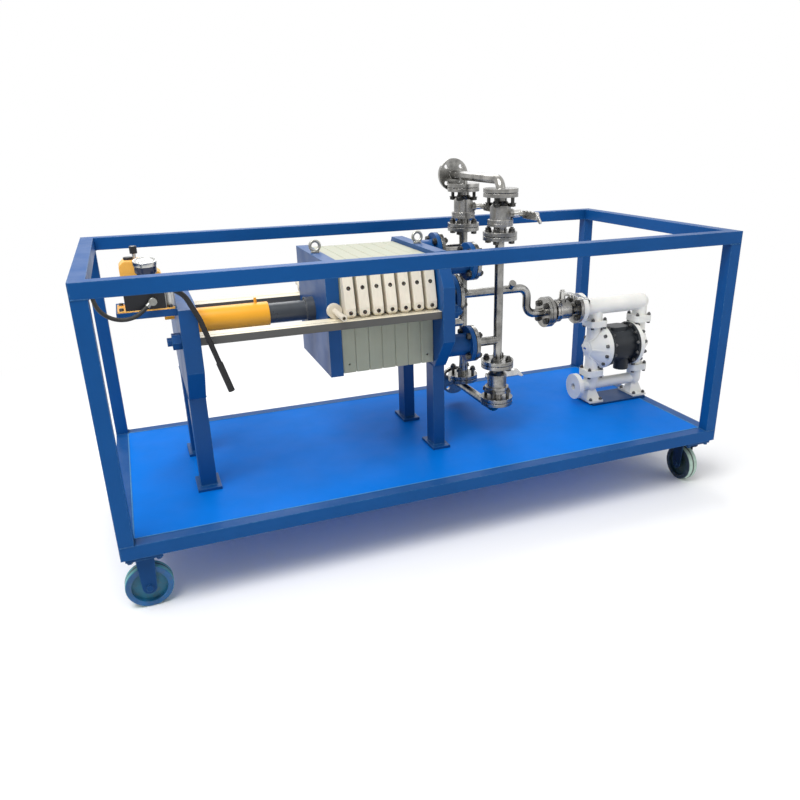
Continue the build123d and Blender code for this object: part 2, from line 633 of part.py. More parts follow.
def valve(along, reach, centre):
    """A flanged three piece ball valve body along one direction, with its stem boss towards another."""
    half = VALVE_LENGTH / 2
    rim, neck, body = FLANGE_DIAMETER / 2, VALVE_NECK_DIAMETER / 2, VALVE_BODY_DIAMETER / 2
    joint, low = VALVE_JOINT_DIAMETER / 2, VALVE_JOINT_SETBACK - half + FLANGE_THICKNESS
    high = low + 2 * VALVE_JOINT_THICKNESS + GASKET
    seam = (joint + body) / 2
    profile = [(0, -half), (rim, -half), (rim, FLANGE_THICKNESS - half), (neck, FLANGE_THICKNESS - half),
               (neck, low), (joint, low), (joint, low + VALVE_JOINT_THICKNESS),
               (seam, low + VALVE_JOINT_THICKNESS), (seam, high - VALVE_JOINT_THICKNESS),
               (joint, high - VALVE_JOINT_THICKNESS), (joint, high), (body, high),
               (body, half - FLANGE_THICKNESS - VALVE_SHOULDER), (neck, half - 2 * FLANGE_THICKNESS),
               (neck, half - FLANGE_THICKNESS), (rim, half - FLANGE_THICKNESS), (rim, half), (0, half)]
    shape = revolve(make_face(Plane.XZ * Polyline(*profile, close=True)), Axis.Z)
    boss = Cylinder(VALVE_BOSS_DIAMETER / 2, VALVE_BOSS_REACH, align=(Align.CENTER, Align.CENTER, Align.MIN))
    return Plane(origin=centre, x_dir=reach, z_dir=along) * (shape + Rot(0, 90, 0) * boss)


def lever(centre, reach, along):
    """A valve lever on its stem: reach is the stem direction and along the lever direction."""
    base = Plane(origin=centre, z_dir=reach, x_dir=along)
    start = VALVE_BOSS_REACH + SLIDING_GAP
    upright = (Align.CENTER, Align.CENTER, Align.MIN)
    shape = Pos(0, 0, start) * Cylinder(LEVER_HUB_DIAMETER / 2, STEM_REACH - start, align=upright)
    shape += Pos(0, 0, STEM_REACH) * Cylinder(LEVER_NUT_DIAMETER / 2, LEVER_NUT_HEIGHT, align=upright)
    half, tip = LEVER_WIDTH / 2, LEVER_LENGTH + LEVER_TIP_LENGTH
    outline = [(0, -half), (LEVER_LENGTH, -half), (tip, LEVER_TIP_DROP),
               (tip - half, LEVER_TIP_DROP + half / 2), (LEVER_LENGTH - half, half), (0, half)]
    arm_z = STEM_REACH - LEVER_THICKNESS
    shape += Pos(0, 0, arm_z) * extrude(make_face(Polyline(*outline, close=True)), LEVER_THICKNESS)
    sleeve_z = arm_z - (SLEEVE_THICKNESS - LEVER_THICKNESS) / 2
    length = LEVER_LENGTH - SLEEVE_START
    sleeve = Pos(SLEEVE_START, 0, sleeve_z) * Box(
        length, SLEEVE_WIDTH, SLEEVE_THICKNESS, align=(Align.MIN, Align.CENTER, Align.MIN))
    sleeve = fillet(sleeve.edges().filter_by(Axis.Z), SLEEVE_WIDTH / 4)
    for step in (1, 2, 3):
        place = (SLEEVE_START + step * length / 4, -SLEEVE_WIDTH / 2 - SLEEVE_SCALLOP / 4, sleeve_z)
        sleeve -= Pos(*place) * Cylinder(SLEEVE_SCALLOP / 2, SLEEVE_THICKNESS, align=upright)
    return base * (shape + sleeve)


def gasket_rings(near_low, top_z, near_z, far_low):
    """The gaskets: five on the head's ports and one wherever two pipe flanges meet."""
    bore = PIPE_DIAMETER - 2 * PIPE_WALL
    pipe_ring, port_ring, feed_ring = (FLANGE_PCD - FLANGE_HOLE, PORT_NECK_DIAMETER, FEED_NECK_DIAMETER)
    half = VALVE_LENGTH / 2
    places = [("X", (PORT_FACE_X, 0, PRESS_Z), feed_ring)]
    for sy in (-1, 1):
        for sz in (-1, 1):
            place = (PORT_FACE_X, sy * PORT_OFFSET_Y, PRESS_Z + sz * PORT_OFFSET_Z)
            places.append(("X", place, port_ring))
        for z in (top_z - half - GASKET, top_z + half):
            places.append(("Z", (RISER_X, sy * PORT_OFFSET_Y, z), pipe_ring))
    for y, z in ((-PORT_OFFSET_Y, near_low - GASKET), (-PORT_OFFSET_Y, near_z - half - GASKET),
                 (PORT_OFFSET_Y, far_low - GASKET)):
        places.append(("Z", (RISER_X, y, z), pipe_ring))
    for x in (FEED_VALVE_X - half - GASKET, FEED_VALVE_X + half):
        places.append(("X", (x, 0, PRESS_Z - FEED_DROP), pipe_ring))
    save("flange_gaskets", [rod(axis, place, GASKET, outer) - rod(axis, place, GASKET, bore)
                            for axis, place, outer in places])


def pipework():
    top, near_low, far_low = risers()
    y = PORT_OFFSET_Y
    half = VALVE_LENGTH / 2
    top_z = top + GASKET + half
    near_z = near_low - GASKET - half
    bodies = [valve((0, 0, 1), (1, 0, 0), (RISER_X, -y, top_z)),
              valve((0, 0, 1), (1, 0, 0), (RISER_X, y, top_z)),
              valve((0, 0, 1), (0, 1, 0), (RISER_X, -y, near_z)),
              valve((1, 0, 0), (0, 0, 1), (FEED_VALVE_X, 0, PRESS_Z - FEED_DROP))]
    save("valve_bodies", bodies)
    save("near_top_lever", lever((RISER_X, -y, top_z), (1, 0, 0), (0, -1, 0)))
    save("far_top_lever", lever((RISER_X, y, top_z), (1, 0, 0), (0, -1, 0)))
    save("drain_lever", lever((RISER_X, -y, near_z), (0, 1, 0), (1, 0, 0)))
    save("feed_lever", lever((FEED_VALVE_X, 0, PRESS_Z - FEED_DROP), (0, 0, 1), (0, -1, 0)))
    gasket_rings(near_low, top_z, near_z, far_low)
    over = top_z + half + GASKET
    pipe_z = over + ELBOW_RADIUS + ELBOW_STRAIGHT
    manifold = pipe([(RISER_X, -y, over), (RISER_X, -y, pipe_z), (RISER_X, TOP_OUTLET_Y, pipe_z)])
    manifold += rod("Z", (RISER_X, y, over), pipe_z - over, BRANCH_DIAMETER)
    for side in (-1, 1):
        manifold += flange("Z", (RISER_X, side * y, over))
    manifold = open_outlet(manifold, TOP_OUTLET_Y, pipe_z)
    save("top_manifold", manifold)
    under = far_low - GASKET
    drain_z = under - ELBOW_RADIUS - ELBOW_STRAIGHT
    drain = pipe([(RISER_X, -y, under), (RISER_X, -y, drain_z), (RISER_X, DRAIN_OUTLET_Y, drain_z)])
    drain = open_outlet(drain, DRAIN_OUTLET_Y, drain_z)
    branch = rod("Z", (RISER_X, y, drain_z), under - drain_z, BRANCH_DIAMETER)
    drain += branch + flange("Z", (RISER_X, y, under - FLANGE_THICKNESS))
    drain += flange("Z", (RISER_X, -y, under - FLANGE_THICKNESS))
    save("drain_manifold", drain)


def open_outlet(shape, y, z):
    """Add the open flange at the end of a manifold, with its bore and its four bolt holes."""
    shape += flange("Y", (RISER_X, y - FLANGE_THICKNESS, z))
    for index in range(4):
        angle = math.radians(45 + 90 * index)
        hole_x = RISER_X + FLANGE_PCD / 2 * math.cos(angle)
        hole_z = z + FLANGE_PCD / 2 * math.sin(angle)
        shape -= rod("Y", (hole_x, y - FLANGE_THICKNESS, hole_z), FLANGE_THICKNESS, FLANGE_HOLE)
    bore = PIPE_DIAMETER - 2 * PIPE_WALL
    return shape - rod("Y", (RISER_X, y - OUTLET_BORE_DEPTH, z), OUTLET_BORE_DEPTH, bore)


def feed_line():
    low_z = PRESS_Z - FEED_DROP
    end = FEED_VALVE_X - VALVE_LENGTH / 2 - GASKET
    start = PORT_FACE_X + GASKET
    shape = pipe([(start, 0, PRESS_Z), (FEED_ELBOW_X, 0, PRESS_Z), (FEED_ELBOW_X, 0, low_z),
                  (end, 0, low_z)])
    shape += flange("X", (start, 0, PRESS_Z), FEED_FLANGE_DIAMETER)
    shape += flange("X", (end - FLANGE_THICKNESS, 0, low_z))
    turn = Pos(FEED_ELBOW_X - PLUG_SETBACK, 0, PRESS_Z) * Rot(PLUG_TILT, 0, 0)
    upright = (Align.CENTER, Align.CENTER, Align.MIN)
    plug = Cylinder(PLUG_NECK_DIAMETER / 2, PLUG_REACH, align=upright)
    disc = Cylinder(PLUG_DIAMETER / 2, PLUG_THICKNESS, align=upright)
    plug += Pos(0, 0, PLUG_REACH - PLUG_THICKNESS) * disc
    save("feed_pipe", shape + turn * plug)


def joint_plate(x, low):
    """One rounded flange of the bolted joints between the pump's chambers and manifolds."""
    plate = block(x - PUMP_JOINT_LENGTH / 2, x + PUMP_JOINT_LENGTH / 2, -PUMP_JOINT_WIDTH / 2,
                  PUMP_JOINT_WIDTH / 2, low, low + PUMP_JOINT_THICKNESS)
    return fillet(plate.edges().filter_by(Axis.Z), PUMP_JOINT_ROUND)


def chamber(side):
    """A pump chamber: a rim, a ribbed cone and its two necks, towards minus X when side is negative."""
    z = DECK_TOP + PUMP_BASE_THICKNESS + PUMP_AXIS_HEIGHT
    rim, cap = PUMP_CHAMBER_DIAMETER / 2, PUMP_CHAMBER_CAP / 2
    profile = [(0, 0), (rim, 0), (rim, PUMP_CHAMBER_RIM), (cap, PUMP_CHAMBER_DEPTH), (0, PUMP_CHAMBER_DEPTH)]
    dish = revolve(make_face(Plane.XZ * Polyline(*profile, close=True)), Axis.Z)
    edge = [(0, PUMP_CHAMBER_RIM), (rim, PUMP_CHAMBER_RIM), (cap + PUMP_RIB_RISE, PUMP_CHAMBER_DEPTH),
            (0, PUMP_CHAMBER_DEPTH)]
    blade = extrude(make_face(Plane.XZ * Polyline(*edge, close=True)), PUMP_RIB_THICKNESS / 2, both=True)
    for index in range(PUMP_RIB_COUNT):
        dish += Rot(0, 0, (index + 0.5) * 360 / PUMP_RIB_COUNT) * blade
    body = Pos(PUMP_X + side * PUMP_CHAMBER_HALF_SPACING, 0, z) * Rot(0, 90 * side, 0) * dish
    reach = rim + PUMP_NECK_RISE
    neck_x = PUMP_X + side * (PUMP_CHAMBER_HALF_SPACING + PUMP_NECK_OFFSET)
    body += rod("Z", (neck_x, 0, z - reach), 2 * reach, PUMP_NECK_DIAMETER)
    return body + joint_plate(neck_x, z - reach) + joint_plate(neck_x, z + reach - PUMP_JOINT_THICKNESS)


def pump_foot(x, base, top):
    """A foot that flares from the neck down to its bolted sole."""
    half_l, half_w = PUMP_FOOT_LENGTH / 2, PUMP_FOOT_WIDTH / 2
    sole_top = base + PUMP_FOOT_THICKNESS
    sole = block(x - half_l, x + half_l, -half_w, half_w, base, sole_top)
    low = Plane(origin=(x, 0, sole_top)) * Rectangle(2 * half_l, half_w)
    high = Plane(origin=(x, 0, top)) * Rectangle(half_l, half_w / 2)
    return sole + loft([low, high])


def feed_pump():
    floor = DECK_TOP
    half_l, half_w = PUMP_BASE_LENGTH / 2, PUMP_BASE_WIDTH / 2
    save("pump_base", block(PUMP_X - half_l, PUMP_X + half_l, -half_w, half_w, floor,
                            floor + PUMP_BASE_THICKNESS))
    base = floor + PUMP_BASE_THICKNESS
    axis_z = base + PUMP_AXIS_HEIGHT
    spacing = PUMP_CHAMBER_HALF_SPACING
    core = rod("X", (PUMP_X - spacing, 0, axis_z), 2 * spacing, PUMP_CENTRE_DIAMETER)
    for x in (PUMP_X - spacing, PUMP_X + spacing - PUMP_CENTRE_RIM):
        core += rod("X", (x, 0, axis_z), PUMP_CENTRE_RIM, PUMP_CENTRE_RIM_DIAMETER)
    lid = block(PUMP_X - PUMP_LID_LENGTH / 2, PUMP_X + PUMP_LID_LENGTH / 2, -PUMP_LID_WIDTH / 2,
                PUMP_LID_WIDTH / 2, axis_z, axis_z + PUMP_LID_RISE)
    core += fillet(lid.edges().filter_by(Axis.Z), PUMP_LID_ROUND)
    core += rod("Z", (PUMP_X + PUMP_SILENCER_X, -PUMP_SILENCER_Y, axis_z - PUMP_SILENCER_DROP),
                PUMP_SILENCER_DROP, PUMP_SILENCER_DIAMETER)
    save("pump_centre", core)
    save("pump_left_chamber", chamber(-1))
    save("pump_right_chamber", chamber(1))
    neck_x = spacing + PUMP_NECK_OFFSET
    reach = PUMP_CHAMBER_DIAMETER / 2 + PUMP_NECK_RISE
    ends = (PUMP_X - neck_x, PUMP_X + neck_x)
    low_z = base + PUMP_SUCTION_HEIGHT
    high_z = PRESS_Z - FEED_DROP
    low = rod("X", (PUMP_SUCTION_X, 0, low_z), ends[1] - PUMP_SUCTION_X, PUMP_TUBE_DIAMETER)
    low += rod("X", (PUMP_SUCTION_X, 0, low_z), PUMP_FLANGE_THICKNESS, PUMP_FLANGE_DIAMETER)
    start = FEED_VALVE_X + VALVE_LENGTH / 2 + GASKET
    high = rod("X", (start, 0, high_z), ends[1] - start, PUMP_DISCHARGE_DIAMETER)
    high += Pos(ends[1], 0, high_z) * Sphere(PUMP_DISCHARGE_DIAMETER / 2)
    high += rod("X", (start, 0, high_z), PUMP_FLANGE_THICKNESS, FLANGE_DIAMETER)
    for x in ends:
        low += rod("Z", (x, 0, low_z), axis_z - reach - low_z, PUMP_NECK_DIAMETER)
        low += joint_plate(x, axis_z - reach - PUMP_JOINT_THICKNESS)
        low += pump_foot(x, base, base + PUMP_FOOT_RISE)
        low += Pos(x, 0, low_z) * Sphere(PUMP_NECK_DIAMETER / 2)
        high += rod("Z", (x, 0, axis_z + reach), high_z - axis_z - reach, PUMP_NECK_DIAMETER)
        high += joint_plate(x, axis_z + reach)
    low -= rod("X", (PUMP_SUCTION_X, 0, low_z), PUMP_FLANGE_THICKNESS + CUT, PUMP_FLANGE_BORE)
    save("suction_manifold", low)
    save("discharge_manifold", high)


def hand_pump():
    x1 = END_BEAM_X
    x0 = x1 - BRACKET_LENGTH
    y0 = BRACKET_Y
    y1 = y0 + BRACKET_WIDTH
    top = BRACKET_TOP
    bracket = block(x0, x1, y0, y1, top - BRACKET_THICKNESS, top)
    bracket += block(x0, x1, y0, y0 + BRACKET_THICKNESS, top - BRACKET_LIP, top)
    save("pump_bracket", bracket)
    middle_x = (x0 + x1) / 2
    base_z = top + HAND_BASE_THICKNESS
    half_l = HAND_BASE_LENGTH / 2
    head_y = y0 + HAND_HEAD_WIDTH
    head_half = HAND_HEAD_LENGTH / 2
    head = block(middle_x - head_half, middle_x + head_half, y0, head_y, base_z, base_z + HAND_HEAD_HEIGHT)
    piston_x, piston_y = middle_x + head_half + HAND_PISTON_OFFSET, (y0 + head_y) / 2
    head += rod("Z", (piston_x, piston_y, base_z), HAND_PISTON_HEIGHT, HAND_PISTON_DIAMETER)
    save("hand_pump_head", head)
    half_tank, tank_top = HAND_TANK_LENGTH / 2, base_z + HAND_TANK_HEIGHT
    outline = [(-half_tank, base_z), (half_tank, base_z), (half_tank, tank_top - HAND_TANK_DROP),
               (half_tank - HAND_TANK_SLOPE, tank_top), (HAND_TANK_SHOULDER - half_tank, tank_top),
               (-half_tank, tank_top - HAND_TANK_SHOULDER)]
    side_face = make_face(Plane.XZ * Polyline(*outline, close=True))
    tank_y = head_y + HAND_TANK_GAP
    tank = Pos(middle_x, tank_y, 0) * extrude(side_face, HAND_TANK_WIDTH, dir=(0, 1, 0))
    tank = fillet(tank.edges().filter_by(Axis.Y), HAND_TANK_ROUND)
    tank += block(middle_x - half_l, middle_x + half_l, y0, y0 + HAND_BASE_WIDTH, top, base_z)
    cap_x = middle_x - HAND_TANK_LENGTH / 4
    tank_y += HAND_TANK_WIDTH / 2
    tank += rod("Z", (cap_x, tank_y, tank_top), TANK_CAP_HEIGHT, TANK_CAP_DIAMETER)
    vent_x = middle_x - TANK_VENT_SETBACK
    tank += rod("Z", (vent_x, tank_y, tank_top), TANK_VENT_HEIGHT, TANK_VENT_DIAMETER)
    tank += rod("Z", (vent_x, tank_y, tank_top + TANK_VENT_HEIGHT - TANK_VENT_COLLAR_HEIGHT),
                TANK_VENT_COLLAR_HEIGHT, TANK_VENT_COLLAR_DIAMETER)
    save("hand_pump_tank", tank)
    stem_x = middle_x + HAND_HEAD_LENGTH / 8
    stem_y = y0 + GAUGE_SETBACK
    stem_z = base_z + HAND_HEAD_HEIGHT
    stem = rod("Z", (stem_x, stem_y, stem_z), GAUGE_STEM_HEIGHT, GAUGE_STEM_DIAMETER)
    case = Cylinder(GAUGE_DIAMETER / 2, GAUGE_DEPTH)
    bezel_z = (GAUGE_DEPTH + GAUGE_BEZEL_DEPTH) / 2
    bezel = Pos(0, 0, bezel_z) * Cylinder(GAUGE_BEZEL_DIAMETER / 2, GAUGE_BEZEL_DEPTH)
    dial_z = stem_z + GAUGE_STEM_HEIGHT + GAUGE_DIAMETER / 3
    dial = Pos(stem_x, stem_y, dial_z) * Rot(-GAUGE_TILT, 0, 0) * (case + bezel)
    save("pressure_gauge", stem + dial)
    hand_lever(piston_x, piston_y - HAND_PISTON_DIAMETER / 2,
               base_z + HAND_PISTON_HEIGHT - HANDLE_HUB_DIAMETER / 2)
    hose(y0)


def hand_lever(x, face_y, z):
    """The pump lever: a hub on a pin beside the head, and a bent arm that hangs past the end beam."""
    hub_y = -BEAM_HALF_WIDTH - HANDLE_CLEARANCE - HANDLE_HUB_WIDTH
    hub = rod("Y", (x, hub_y, z), face_y - SLIDING_GAP - hub_y, HANDLE_HUB_DIAMETER)
    place = Vector(x, hub_y + HANDLE_HUB_WIDTH / 2, z)
    points = [place]
    for run, angle in zip(HANDLE_RUNS, HANDLE_ANGLES):
        fall = math.radians(angle)
        place = place + Vector(run * math.cos(fall), 0, -run * math.sin(fall))
        points.append(place)
    path = FilletPolyline(*points, radius=HANDLE_BEND)
    arm = sweep(Plane(origin=path @ 0, z_dir=path % 0) * Circle(HANDLE_DIAMETER / 2), path=path)
    grip = Plane(origin=path @ 1, z_dir=-(path % 1)) * Cylinder(
        HANDLE_GRIP_DIAMETER / 2, HANDLE_GRIP_LENGTH, align=(Align.CENTER, Align.CENTER, Align.MIN))
    save("hand_pump_lever", hub + arm + grip)


def hose_arcs(points):
    """The radius of each arc of a hose along its points, as large as its two runs allow."""
    radii = []
    for before, corner, after in zip(points, points[1:], points[2:]):
        one, two = Vector(*corner) - Vector(*before), Vector(*after) - Vector(*corner)
        turn = math.radians(one.get_angle(two)) / 2
        radii.append(HOSE_ARC_SHARE * min(one.length, two.length) / math.tan(turn))
    return radii


# The route of the hose from the hand pump to the cylinder, chosen by hand
HOSE_POINTS = [
    (-1042, -322, 1010), (-1065, -329, 991), (-1095, -339, 979), (-1129, -343, 978), (-1161, -342, 989),
    (-1186, -333, 1010), (-1199, -318, 1037), (-1203, -296, 1063), (-1200, -263, 1079), (-1193, -222, 1082),
    (-1182, -180, 1078), (-1164, -138, 1073), (-1136, -100, 1066), (-1100, -66, 1060), (-1055, -34, 1057),
    (-1005, -13, 1040), (-977, -3, 1008), (-967, 0, 975), (-967, 0, 948),
]


def hose(face_y):
    """The hose between the swivel fitting on the hand pump and the port on the cylinder's rear boss."""
    radii = hose_arcs(HOSE_POINTS)
    path = FilletPolyline(*HOSE_POINTS, radius=radii)
    tube = sweep(Plane(origin=path @ 0, z_dir=path % 0) * Circle(HOSE_DIAMETER / 2), path=path)
    area = math.pi * (HOSE_DIAMETER / 2) ** 2
    print("hose radii", [round(radius) for radius in radii])
    share = tube.volume / (area * path.length)
    print("hose length", round(path.length), "volume share", round(share, 4))
    save("hose", tube)
    away = (path % 0) * HOSE_FITTING_LENGTH
    centre = path @ 0 - away
    half = HOSE_FITTING_DIAMETER / 2
    banjo = rod("Y", (centre.X, centre.Y - half, centre.Z), face_y - centre.Y + half, HOSE_FITTING_DIAMETER)
    upright = (Align.CENTER, Align.CENTER, Align.MIN)
    ferrule = HOSE_DIAMETER / 2 + HOSE_FERRULE_WALL
    tail = Plane(origin=centre, z_dir=away) * Cylinder(ferrule, HOSE_FITTING_LENGTH, align=upright)
    save("hose_fitting", banjo + tail)


os.makedirs("parts", exist_ok=True)
frame()
casters()
press_ends()
side_bars()
cylinder()
follower()
filter_plates()
ports()
pipework()
feed_line()
feed_pump()
hand_pump()
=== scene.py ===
import math
from itertools import product

import bmesh
import bpy
from mathutils import Matrix, Vector


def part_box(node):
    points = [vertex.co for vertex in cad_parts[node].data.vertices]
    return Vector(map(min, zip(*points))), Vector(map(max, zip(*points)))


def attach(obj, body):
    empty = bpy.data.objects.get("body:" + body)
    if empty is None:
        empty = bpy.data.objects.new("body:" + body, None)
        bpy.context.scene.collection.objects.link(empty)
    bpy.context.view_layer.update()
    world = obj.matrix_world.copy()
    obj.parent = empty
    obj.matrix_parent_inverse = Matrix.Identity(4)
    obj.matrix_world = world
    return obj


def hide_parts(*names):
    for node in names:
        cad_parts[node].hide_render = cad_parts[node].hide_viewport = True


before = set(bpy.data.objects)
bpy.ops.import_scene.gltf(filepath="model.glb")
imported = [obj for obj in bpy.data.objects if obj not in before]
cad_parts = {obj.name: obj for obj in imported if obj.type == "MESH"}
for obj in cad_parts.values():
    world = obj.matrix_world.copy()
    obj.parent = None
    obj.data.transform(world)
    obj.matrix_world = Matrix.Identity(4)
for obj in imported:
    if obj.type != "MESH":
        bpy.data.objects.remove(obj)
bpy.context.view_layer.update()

bl_info = {
    "name": "Plate filter press",
    "version": (1, 0, 0),
    "blender": (4, 5, 0),
    "location": "View3D > Sidebar > Filter Press",
    "description": "Finishes, fasteners, welds and hose for a plate filter press on a wheeled frame",
    "category": "Object",
}


def middle(box):
    return (Vector(box[0]) + Vector(box[1])) / 2


# Directions and signs
ALONG, ACROSS, UP, DOWN = (1, 0, 0), (0, 1, 0), (0, 0, 1), (0, 0, -1)
SIDES = (-1, 1)
QUARTERS = tuple(product(SIDES, repeat=2))

# Pipes, flanges and their bolts, in metres
PIPE_FLANGE_RADIUS = 0.070
PIPE_FLANGE_THICKNESS = 0.015
PIPE_RADIUS = 0.019
GASKET = 0.003
FLANGE_BOLT_CIRCLE = 0.050
FLANGE_BOLT_COUNT = 4
FLANGE_NUT_HEIGHT = 0.011
PORT_RISE = 0.172
PORT_STACK = 0.036
PORT_BOLT_CIRCLE = 0.060
PORT_NECK = 0.046
FEED_BOLT_CIRCLE = 0.077
FEED_BOLT_COUNT = 8
FEED_NECK = 0.055
PIPE_WELD_SHARE = 0.8

# Frame and legs
TUBE = 0.050
LEG_OUTER = 0.216
LEG_WIDTH = 0.075
FOOT_THICKNESS = 0.012

# Filter plates; each lug hole has its height over the lugs' foot, its distance from the middle and its axis
PLATE_COUNT = 7
LUG_START = 0.2256
LUG_BASE = 0.8863
LUG_HOLES = ((0.022, 0.2830, (1.0, 0.0)), (0.112, 0.2647, (0.9708, 0.2397)))
# Profile of the dark ring of painted shade round each lug hole
LUG_SHADE_RING = ((0.0042, 0.0004), (0.0046, 0.0010), (0.0072, 0.0010), (0.0078, 0.0004), (0.0078, -0.0030),
            (0.0042, -0.0030), (0.0042, 0.0004))

# Casters
WHEEL_RIM = 0.060
WHEEL_TREAD = 0.0785
WHEEL_BLEND = 0.0008
WHEEL_GROOVE = 0.004
CASTER_PLATE_WIDTH = 0.104
CASTER_BOLT_X = 0.047
CASTER_BOLT_Y = 0.040
CASTER_BOLT_ACROSS = 0.016
CASTER_BOLT_HEIGHT = 0.008

# Feed pump
PUMP_FLANGE_STACK = 0.042
PUMP_NECK_SPACING = 0.129
PUMP_BOLT_ACROSS = 0.015
PUMP_BOLT_HEIGHT = 0.008
PUMP_JOINT_CIRCLE = 0.048
PUMP_JOINT_COUNT = 4
PUMP_JOINT_STACK = 0.030
PUMP_RIM_OFFSET = 0.087
PUMP_RIM_CIRCLE = 0.097
PUMP_RIM_COUNT = 12
PUMP_RIM_STACK = 0.038
PUMP_SOLE_BOLT_X = 0.028
PUMP_SOLE_BOLT_Y = 0.052
PUMP_SOLE_BOLT_HEIGHT = 0.007
PUMP_SOLE_Z = 0.2775
PUMP_SOLE_STACK = 0.025
PUMP_HUB_OFFSET = 0.164
PUMP_HUB = ((0, 0), (0.031, 0), (0.031, 0.003), (0.027, 0.006), (0.016, 0.008), (0.013, 0.012), (0, 0.012))
CAP_MARK = (0.0020, 0.020, 0.009)
CAP_MARK_OFFSET = 0.1755

# Hand pump, with the gauge's parts as profiles of radius and height
PISTON_DIAMETER = 0.032
TANK_TOP = 1.1474
VENT = (-1.057, -0.191, 0.0)
VENT_RADIUS = 0.0062
GAUGE_SEAT = (-1.029, -0.293, 1.079)
GAUGE_AXIS = (0.0, -0.1564, 0.9877)
GAUGE_STEM_TOP = 0.036
GAUGE_FACE = 0.0405
GAUGE_STEM = ((0, 0), (0.0075, 0), (0.0075, 0.008), (0.0105, 0.009), (0.0105, 0.017), (0.0075, 0.018),
              (0.0075, GAUGE_STEM_TOP), (0, GAUGE_STEM_TOP))
GAUGE_CASE = ((0, 0), (0.029, 0), (0.0335, 0.003), (0.035, 0.007), (0.035, 0.030), (0, 0.030))
GAUGE_RING = ((0.0350, -0.0130), (0.0372, -0.0115), (0.0376, -0.0020), (0.0368, 0.0022), (0.0345, 0.0030),
              (0.0325, 0.0018), (0.0320, 0), (0.0320, -0.0130), (0.0350, -0.0130))
GAUGE_DIAL = ((0, -0.0120), (0.0322, -0.0120), (0.0322, 0.0006), (0, 0.0006))
MARK_COUNT = 26
MARK_REACH = 0.0285
MARK_LENGTH, LONG_MARK_LENGTH = 0.0035, 0.006
MARK_WIDTH = 0.0008
MARK_THICKNESS = 0.0006
MARK_HEIGHT = 0.0009
NEEDLE = (math.radians(215), 0.010, 0.030, 0.0014)
SCREW_PLACES = ((-1.122, -0.290), (-1.122, -0.200), (-0.968, -0.295), (-0.968, -0.200))
SCREW_Z = 0.997
SCREW_ACROSS = 0.012
SCREW_HEIGHT = 0.007

# The route of the hose, as its solid's
HOSE_POINTS = [
    (-1.042, -0.322, 1.010), (-1.065, -0.329, 0.991), (-1.095, -0.339, 0.979), (-1.129, -0.343, 0.978),
    (-1.161, -0.342, 0.989), (-1.186, -0.333, 1.010), (-1.199, -0.318, 1.037), (-1.203, -0.296, 1.063),
    (-1.200, -0.263, 1.079), (-1.193, -0.222, 1.082), (-1.182, -0.180, 1.078), (-1.164, -0.138, 1.073),
    (-1.136, -0.100, 1.066), (-1.100, -0.066, 1.060), (-1.055, -0.034, 1.057), (-1.005, -0.013, 1.040),
    (-0.977, -0.003, 1.008), (-0.967, 0.0, 0.975), (-0.967, 0.0, 0.948),
]

# Stage: each lamp has its name, its place, its size and its power
LAMPS = (("key_lamp", (-2.2, -1.6, 5.0), 3.2, 245.0), ("fill_lamp", (3.8, -3.4, 2.4), 3.0, 30.0),
         ("back_lamp", (0.8, 3.4, 4.2), 3.5, 120.0))
LAMP_AIM = (0, 0, 0.6)
WORLD_STRENGTH = 0.50
FLOOR_WHITE = (0.94, 0.94, 0.94, 1)
FLOOR_FADE = (1.3, 3.4)
FLOOR_HALF = 40.0
CAMERA_PLACE = (-1.066, -2.835, 1.527)
CAMERA_TURN = (68.633, 0.694, -22.629)
CAMERA_LENS = 32.33
CAMERA_SENSOR = 36.0
CAMERA_SHIFT = (-0.0410, 0.0192)

# Places read from the frame, in metres
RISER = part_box("near_riser")
FAR_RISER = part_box("far_riser")
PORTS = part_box("head_ports")
TOP_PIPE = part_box("top_manifold")
DRAIN_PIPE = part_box("drain_manifold")
FEED_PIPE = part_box("feed_pipe")
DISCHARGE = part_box("discharge_manifold")
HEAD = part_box("fixed_head")
END_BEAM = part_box("end_beam")
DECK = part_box("deck")
LONG_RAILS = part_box("long_rails")
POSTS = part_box("corner_posts")
PRESS_Z = middle(PORTS).z
RISER_X = RISER[1][0] - PIPE_FLANGE_RADIUS
RISER_Y = -middle(RISER).y
FEED_Z = FEED_PIPE[0][2] + PIPE_FLANGE_RADIUS
TOP_OUTLET_Z = TOP_PIPE[1][2] - PIPE_FLANGE_RADIUS
DRAIN_OUTLET_Z = DRAIN_PIPE[0][2] + PIPE_FLANGE_RADIUS


def feed(tree, socket, value):
    """Link another node's socket to a socket, or set the socket's own value."""
    if isinstance(value, bpy.types.NodeSocket):
        tree.links.new(value, socket)
    else:
        socket.default_value = value


def add_node(tree, kind, sockets=None, **settings):
    """A node with its properties, and with its sockets set or linked by name or number."""
    node = tree.nodes.new(kind)
    for name, value in settings.items():
        setattr(node, name, value)
    for name, value in (sockets or {}).items():
        feed(tree, node.inputs[name], value)
    return node


def maths(tree, operation, one, two=0.0):
    """A sum, product or comparison of two values."""
    return add_node(tree, "ShaderNodeMath", {0: one, 1: two}, operation=operation).outputs[0]


def vector_maths(tree, operation, one, two=(0, 0, 0)):
    """The outputs of a sum, product or length of vectors."""
    return add_node(tree, "ShaderNodeVectorMath", {0: one, 1: two}, operation=operation).outputs


def span(tree, value, low=0.0, high=1.0, start=0.0, end=1.0):
    """A value between start and end spread over the range from low to high."""
    return add_node(tree, "ShaderNodeMapRange", {
        "Value": value, "From Min": start, "From Max": end, "To Min": low, "To Max": high}).outputs["Result"]


def axis_of(tree, vector, axis):
    """A vector's share along X, Y or Z."""
    return add_node(tree, "ShaderNodeSeparateXYZ", {"Vector": vector}).outputs[axis]


def upward(tree):
    """How far the surface looks up, from -1 to 1."""
    return axis_of(tree, add_node(tree, "ShaderNodeNewGeometry").outputs["Normal"], "Z")


